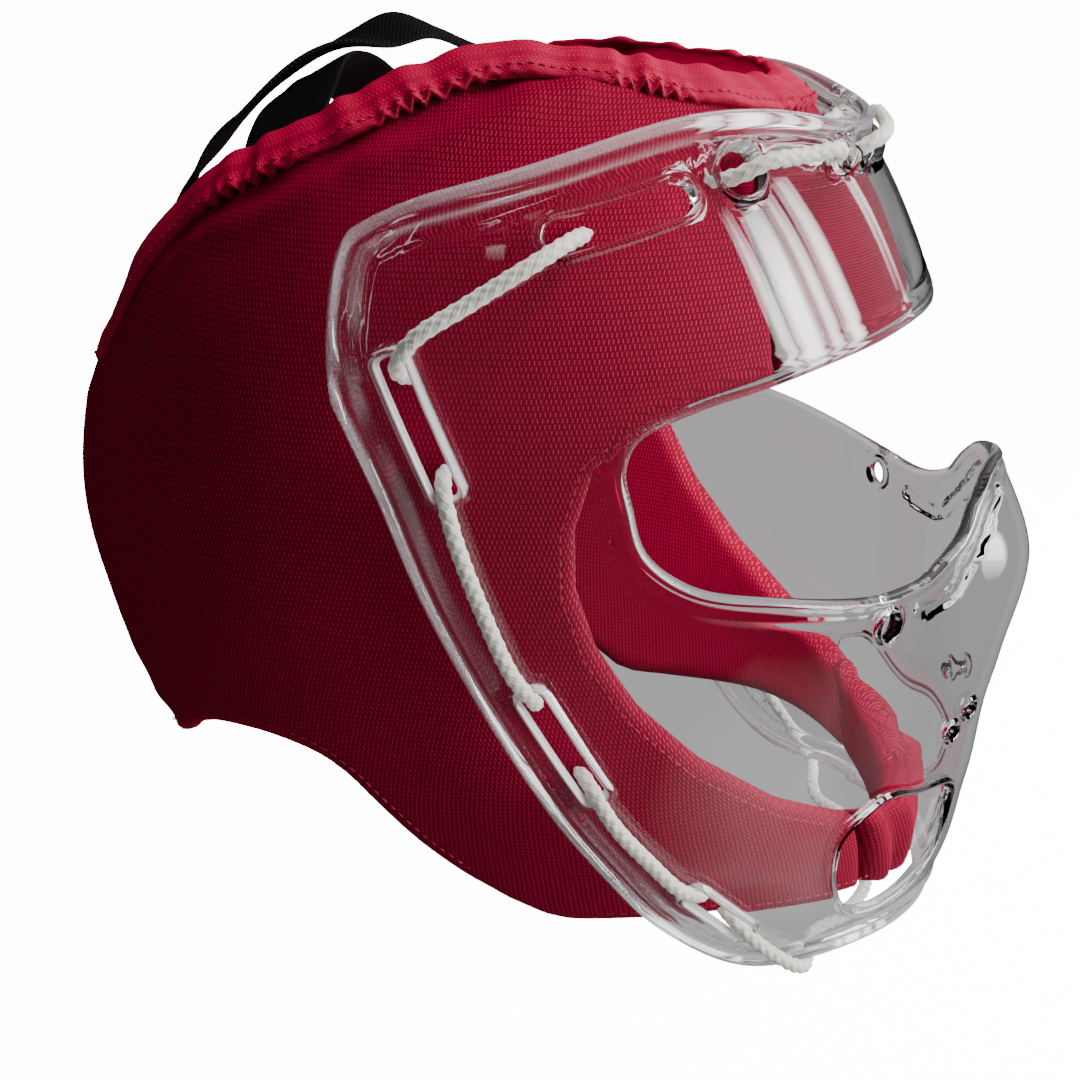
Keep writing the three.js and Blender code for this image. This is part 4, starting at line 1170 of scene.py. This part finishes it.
def slot_outline(side, angle, height, end_angle, end_height, width):
    start = mask_at(side * angle, height)[0]
    end = mask_at(side * end_angle, end_height)[0]
    out = mask_at(side * (angle + end_angle) / 2, (height + end_height) / 2)[1]
    along = unit(end - start)
    across = unit(np.cross(out, along))
    reach = np.linalg.norm(end - start) / 2
    half = slot_width * width / 2
    corner = half if width == 1 else 0.55 * half
    middle = (start + end) / 2
    outline = []
    for quarter, (a, b) in enumerate([(1, 1), (-1, 1), (-1, -1), (1, -1)]):
        for turn in np.linspace(0, math.pi / 2, corner_steps) + quarter * math.pi / 2:
            outline.append(mask_place(middle + along * (a * (reach - corner) + corner * math.cos(turn))
                                      + across * (b * (half - corner) + corner * math.sin(turn))))
    return [here for here, there in zip(outline, outline[1:] + outline[:1]) if math.dist(here, there) > 0.05]


def hole_outline(side, angle, height, diameter):
    centre, out = mask_at(side * angle, height)
    across = unit(np.cross(np.array([0, 0, 1.0]), out))
    up = np.cross(out, across)
    return [mask_place(centre + (across * math.cos(turn) + up * math.sin(turn)) * diameter / 2)
            for turn in round_turn(hole_steps)]


def softened(points, rounds):
    points = np.asarray(points, float)
    for _ in range(rounds):
        points = (np.roll(points, 1, axis=0) + 2 * points + np.roll(points, -1, axis=0)) / 4
    return points


rear_corner = mask_rear_edge[0]
top_corner = mask_rear_edge[-1]
top_turns = np.linspace(-top_corner[0], top_corner[0], 90)
low_turns = np.linspace(rear_corner[0], -rear_corner[0], 70)
rear_levels = np.linspace(level_of(top_corner[1]), level_of(rear_corner[1]), 60)[1:-1]
rear_turns = between(mask_rear_heights, mask_rear_turns, share_of(rear_levels))
rim = edge_line(mask_top_edge, top_turns) + list(zip(rear_turns, rear_levels))
rim += edge_line(mask_lower_edge, low_turns) + list(zip(-rear_turns[::-1], rear_levels[::-1]))
rim_loop = softened(divided(rim, 0.6, 0.9), rim_softening)
window_points = at_side(window_edge, 1)[:-1] + at_side(window_edge[::-1], -1)[:-1]
window_loop = smooth_path(window_points, curve_steps, True)
mask_loops = [rim_loop, window_loop]
lips = [(0, 0), (0, 0)]
for side in (1, -1):
    mask_loops.append(smooth_path(at_side(chin_cutout, side), curve_steps, True))
    lips.append((cutout_lip, 0))
    for *ends_and_width, whiteness in slots:
        mask_loops.append(slot_outline(side, *ends_and_width))
        lips.append((1, whiteness))
    for angle, height, diameter, lip in holes:
        mask_loops.append(hole_outline(side, angle, height, diameter))
        lips.append((lip, 0))
lip_of_loop, frost_of_loop = np.array(lips, float).T
flute = smooth_path(at_side(flute_path, 1), 12, False)


def bump(value, middle, half_width):
    return np.exp(-((value - middle) / half_width) ** 2)


# Distances over the mask to its outer rim and to the nearest opening, each from its own marks
mask_cut = cut_panel(mask_loops, spacing=1.3, border_spacing=0.9,
                     edge_rows=[0.4, 0.9, 1.5, 2.2, 3.0, 3.8, 4.6, 5.4, 6.2, 7.1, 8.0])
mask_marks = mask_form(*mask_cut[2].T)


def marks_where(chosen):
    return mask_marks[chosen], mask_cut[3][chosen], tree_of(mask_marks[chosen])


rim_only = marks_where(mask_cut[3] == 0)
openings_only = marks_where(mask_cut[3] > 0)
flute_tree = tree_of(np.vstack([mask_form(side * flute[:, 0], flute[:, 1]) for side in (1, -1)]))

# Height, distance from the edge and half width of each bead, groove and lip, in mm
rim_beads = [(rim_bead, 1.6, 1.2), (-0.3 * rim_bead, 3.6, 1.1), (0.7 * rim_bead, 5.6, 1.3)]
flange_beads = [(0.9, 1.6, 1.2), (-0.9, 4.8, 1.9), (0.4, 8.2, 1.4)]
window_beads = [(0.55, 1.5, 1.1), (0.25, 4.6, 1.4)]
flute_depth = 0.9


def relief(beads, distance):
    return sum(rise * bump(distance, middle, half_width) for rise, middle, half_width in beads)


def flange_share(angle, z):
    return (smoothstep(z - edge_level(mask_top_edge, angle), -20, -9)
            * (1 - smoothstep(np.abs(angle), 83, 90)))


def flange_raise(angle, z, to_rim):
    return flange_step * flange_share(angle, z) * (1 - smoothstep(to_rim, 8.0, 11.5))


def mask_outer(angle, z):
    base = mask_form(angle, z)
    to_rim = rim_distance(*rim_only, base)[0]
    to_opening, opening = rim_distance(*openings_only, base)
    on_flange = flange_share(angle, z)
    rims = (1 - on_flange) * relief(rim_beads, to_rim) + on_flange * relief(flange_beads, to_rim)
    window_lip = (opening == 1) * relief(window_beads, to_opening)
    lip = lip_rise * lip_of_loop[opening] * (1 - smoothstep(to_opening, 1.1, 2.6))
    channel = -flute_depth * (1 - smoothstep(nearest(flute_tree, base)[1], 0.9, 2.4))
    return raised(mask_form, angle, z, flange_raise(angle, z, to_rim) + rims + window_lip + lip + channel)


def mask_inner(angle, z):
    to_rim = rim_distance(*rim_only, mask_form(angle, z))[0]
    return raised(mask_form, angle, z, flange_raise(angle, z, to_rim) - mask_wall)


def plain_map(angle, z):
    return np.stack([angle * map_scale, z], -1) * MM


def clear_material():
    material, nodes = new_material("clear_shell")
    glass = nodes.principled({
        "Base Color": (0.88, 0.88, 0.9, 1), "Roughness": 0.0, "IOR": 1.52, "Transmission Weight": 1.0})
    # A white rough surface mixed in by the frost attribute: frosting on the slot lips, and painted highlights
    # along the rims
    frost_and_gleam_white = nodes.principled({
        "Base Color": (0.85, 0.84, 0.88, 1), "Roughness": 0.35, "Specular IOR Level": 0.5})
    nodes.surface(nodes.add("ShaderNodeMixShader", {}, {0: nodes.attribute("frost_and_gleam") * 0.6, 1: glass, 2: frost_and_gleam_white}))
    return material


# The slot lips are frosted white. White lines along the outer rim's edge and its second bead, and along the
# window's edge, are painted highlights where the rims gleam.
def mask_frost_and_gleam(gap, loop):
    painted_rim_highlights = 0.42 * bump(gap, 0.8, 0.7) + 0.26 * bump(gap, 5.4, 0.5)
    painted_window_highlight = 0.16 * bump(gap, 0.5, 0.5)
    return (frost_of_loop[loop] * (1 - smoothstep(gap, 0.5, 1.1)) + (loop == 0) * painted_rim_highlights
            + (loop == 1) * painted_window_highlight)


clear_shell = clear_material()
mask = closed_panel("clear_face_mask", mask_cut, mask_form, mask_outer, mask_inner, mask_rounding, clear_shell,
                    plain_map, mask_frost_and_gleam)
hidden_from(mask, "shadow")
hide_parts("face_mask")
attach(mask, "root")


# Lace: one cream white braided cord that ties the mask to the padding. It lies on the mask, dips through
# its holes and slots, and runs inside the padding between them.
lace_diameter = 3.4
lace_rest = 0.35
# Angle, height share, and where the lace lies there
lace_route = [
    (0, 0.668, "over"), (8, 0.668, "over"), (13.5, 0.668, "over"), (16.5, 0.668, "through"),
    (19.8, 0.669, "under"), (23, 0.67, "through"), (27, 0.672, "over"), (34, 0.675, "over"),
    (41, 0.675, "over"), (45, 0.668, "through"), (50, 0.65, "under"), (58, 0.62, "under"),
    (65, 0.575, "under"), (69.4, 0.552, "through"), (72.9, 0.51, "over"), (80, 0.42, "over"),
    (84.6, 0.345, "over"), (86.1, 0.275, "through"), (85.9, 0.225, "under"), (83.4, 0.065, "under"),
    (82.7, 0.02, "through"), (81.9, -0.04, "over"), (80, -0.14, "over"), (77.8, -0.235, "over"),
    (76.2, -0.284, "through"), (75.3, -0.312, "under"), (72.6, -0.388, "under"), (71.7, -0.416, "through"),
    (70, -0.46, "over"), (67.4, -0.53, "over"), (65.2, -0.58, "over"), (63.1, -0.617, "through"),
    (61.3, -0.65, "under"), (59.4, -0.677, "through"), (55, -0.73, "over"), (48.5, -0.78, "over"),
    (39, -0.805, "below"), (26, -0.808, "below"), (13, -0.81, "below"), (0.2, -0.815, "below"),
]
lace_sides = 20
lace_step = 0.3
braid_pitch = 3.0
braid_strands = 4
braid_depth = 0.42


def lace_point(angle, height, place):
    angle = np.float64(angle)
    z = level_of(height)
    radius = lace_diameter / 2
    if place == "over":
        top = edge_level(mask_top_edge, angle)
        step = flange_step * smoothstep(z, top - flange_width - flange_step, top - flange_width + flange_step)
        return raised(mask_form, angle, z, radius + lace_rest + step)
    if place == "through":
        return raised(mask_form, angle, z, -mask_wall / 2)
    depth = hood_wall / 2 if place == "under" else hood_wall / 2 + radius
    return padding_face(angle, z) - normal_of(hood_form, angle, z) * depth


def cord_material():
    material, nodes = new_material("white_cord")
    place = nodes.place("UV")
    along = nodes.add("ShaderNodeSeparateXYZ", {}, [place])
    fibre = (along * 5200 + along.output("Y") * 60).math("SINE") * 0.5 + 0.5
    fluff = nodes.noise(place, 700.0, 3.0)
    tone = nodes.mix(fluff * 0.6 + fibre * 0.4, (0.6, 0.57, 0.5, 1), (0.9, 0.87, 0.8, 1))
    nodes.surface(nodes.principled({
        "Base Color": tone, "Roughness": 0.75, "Specular IOR Level": 0.3, "Sheen Weight": 0.2,
        "Normal": nodes.bump(0.4, 0.0002, fibre + fluff)}))
    return material


# A braided tube along a path: frames carried along it without twist, strands as staggered bumps
def braided_tube(name, path, radius, material):
    length = lengths_along(path)
    marks = np.linspace(0, length[-1], int(length[-1] / lace_step))
    centre = np.stack([np.interp(marks, length, path[:, k]) for k in range(3)], -1)
    centre[1:-1] = (centre[:-2] + centre[1:-1] * 2 + centre[2:]) / 4
    ahead = unit(np.gradient(centre, axis=0))
    side = np.cross(ahead[0], (0, 0, 1))
    sides = []
    for direction in ahead:
        side = unit(side - direction * (side @ direction))
        sides.append(side)
    side = np.array(sides)
    up = np.cross(ahead, side)
    turn = round_turn(lace_sides)
    twist = 2 * math.pi * marks / braid_pitch
    pattern = np.abs(np.cos(braid_strands * turn) + np.cos(twist)[:, None]) / 2
    reach = radius - braid_depth + braid_depth * 1.25 * np.sqrt(pattern)
    points = (centre[:, None] + side[:, None] * (np.cos(turn) * reach)[..., None]
              + up[:, None] * (np.sin(turn) * reach)[..., None])
    return closed_tube(name, points, centre, marks * MM, turn / (2 * math.pi), material)


lace_right = [lace_point(*row) for row in lace_route]
lace_left = [lace_point(-angle, height, place) for angle, height, place in lace_route[1:]]
lace_path = smooth_path(np.array(lace_right[::-1] + lace_left), 16, False)
lace = braided_tube("braided_lace", lace_path, lace_diameter / 2, cord_material())
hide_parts("lace")
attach(lace, "root")
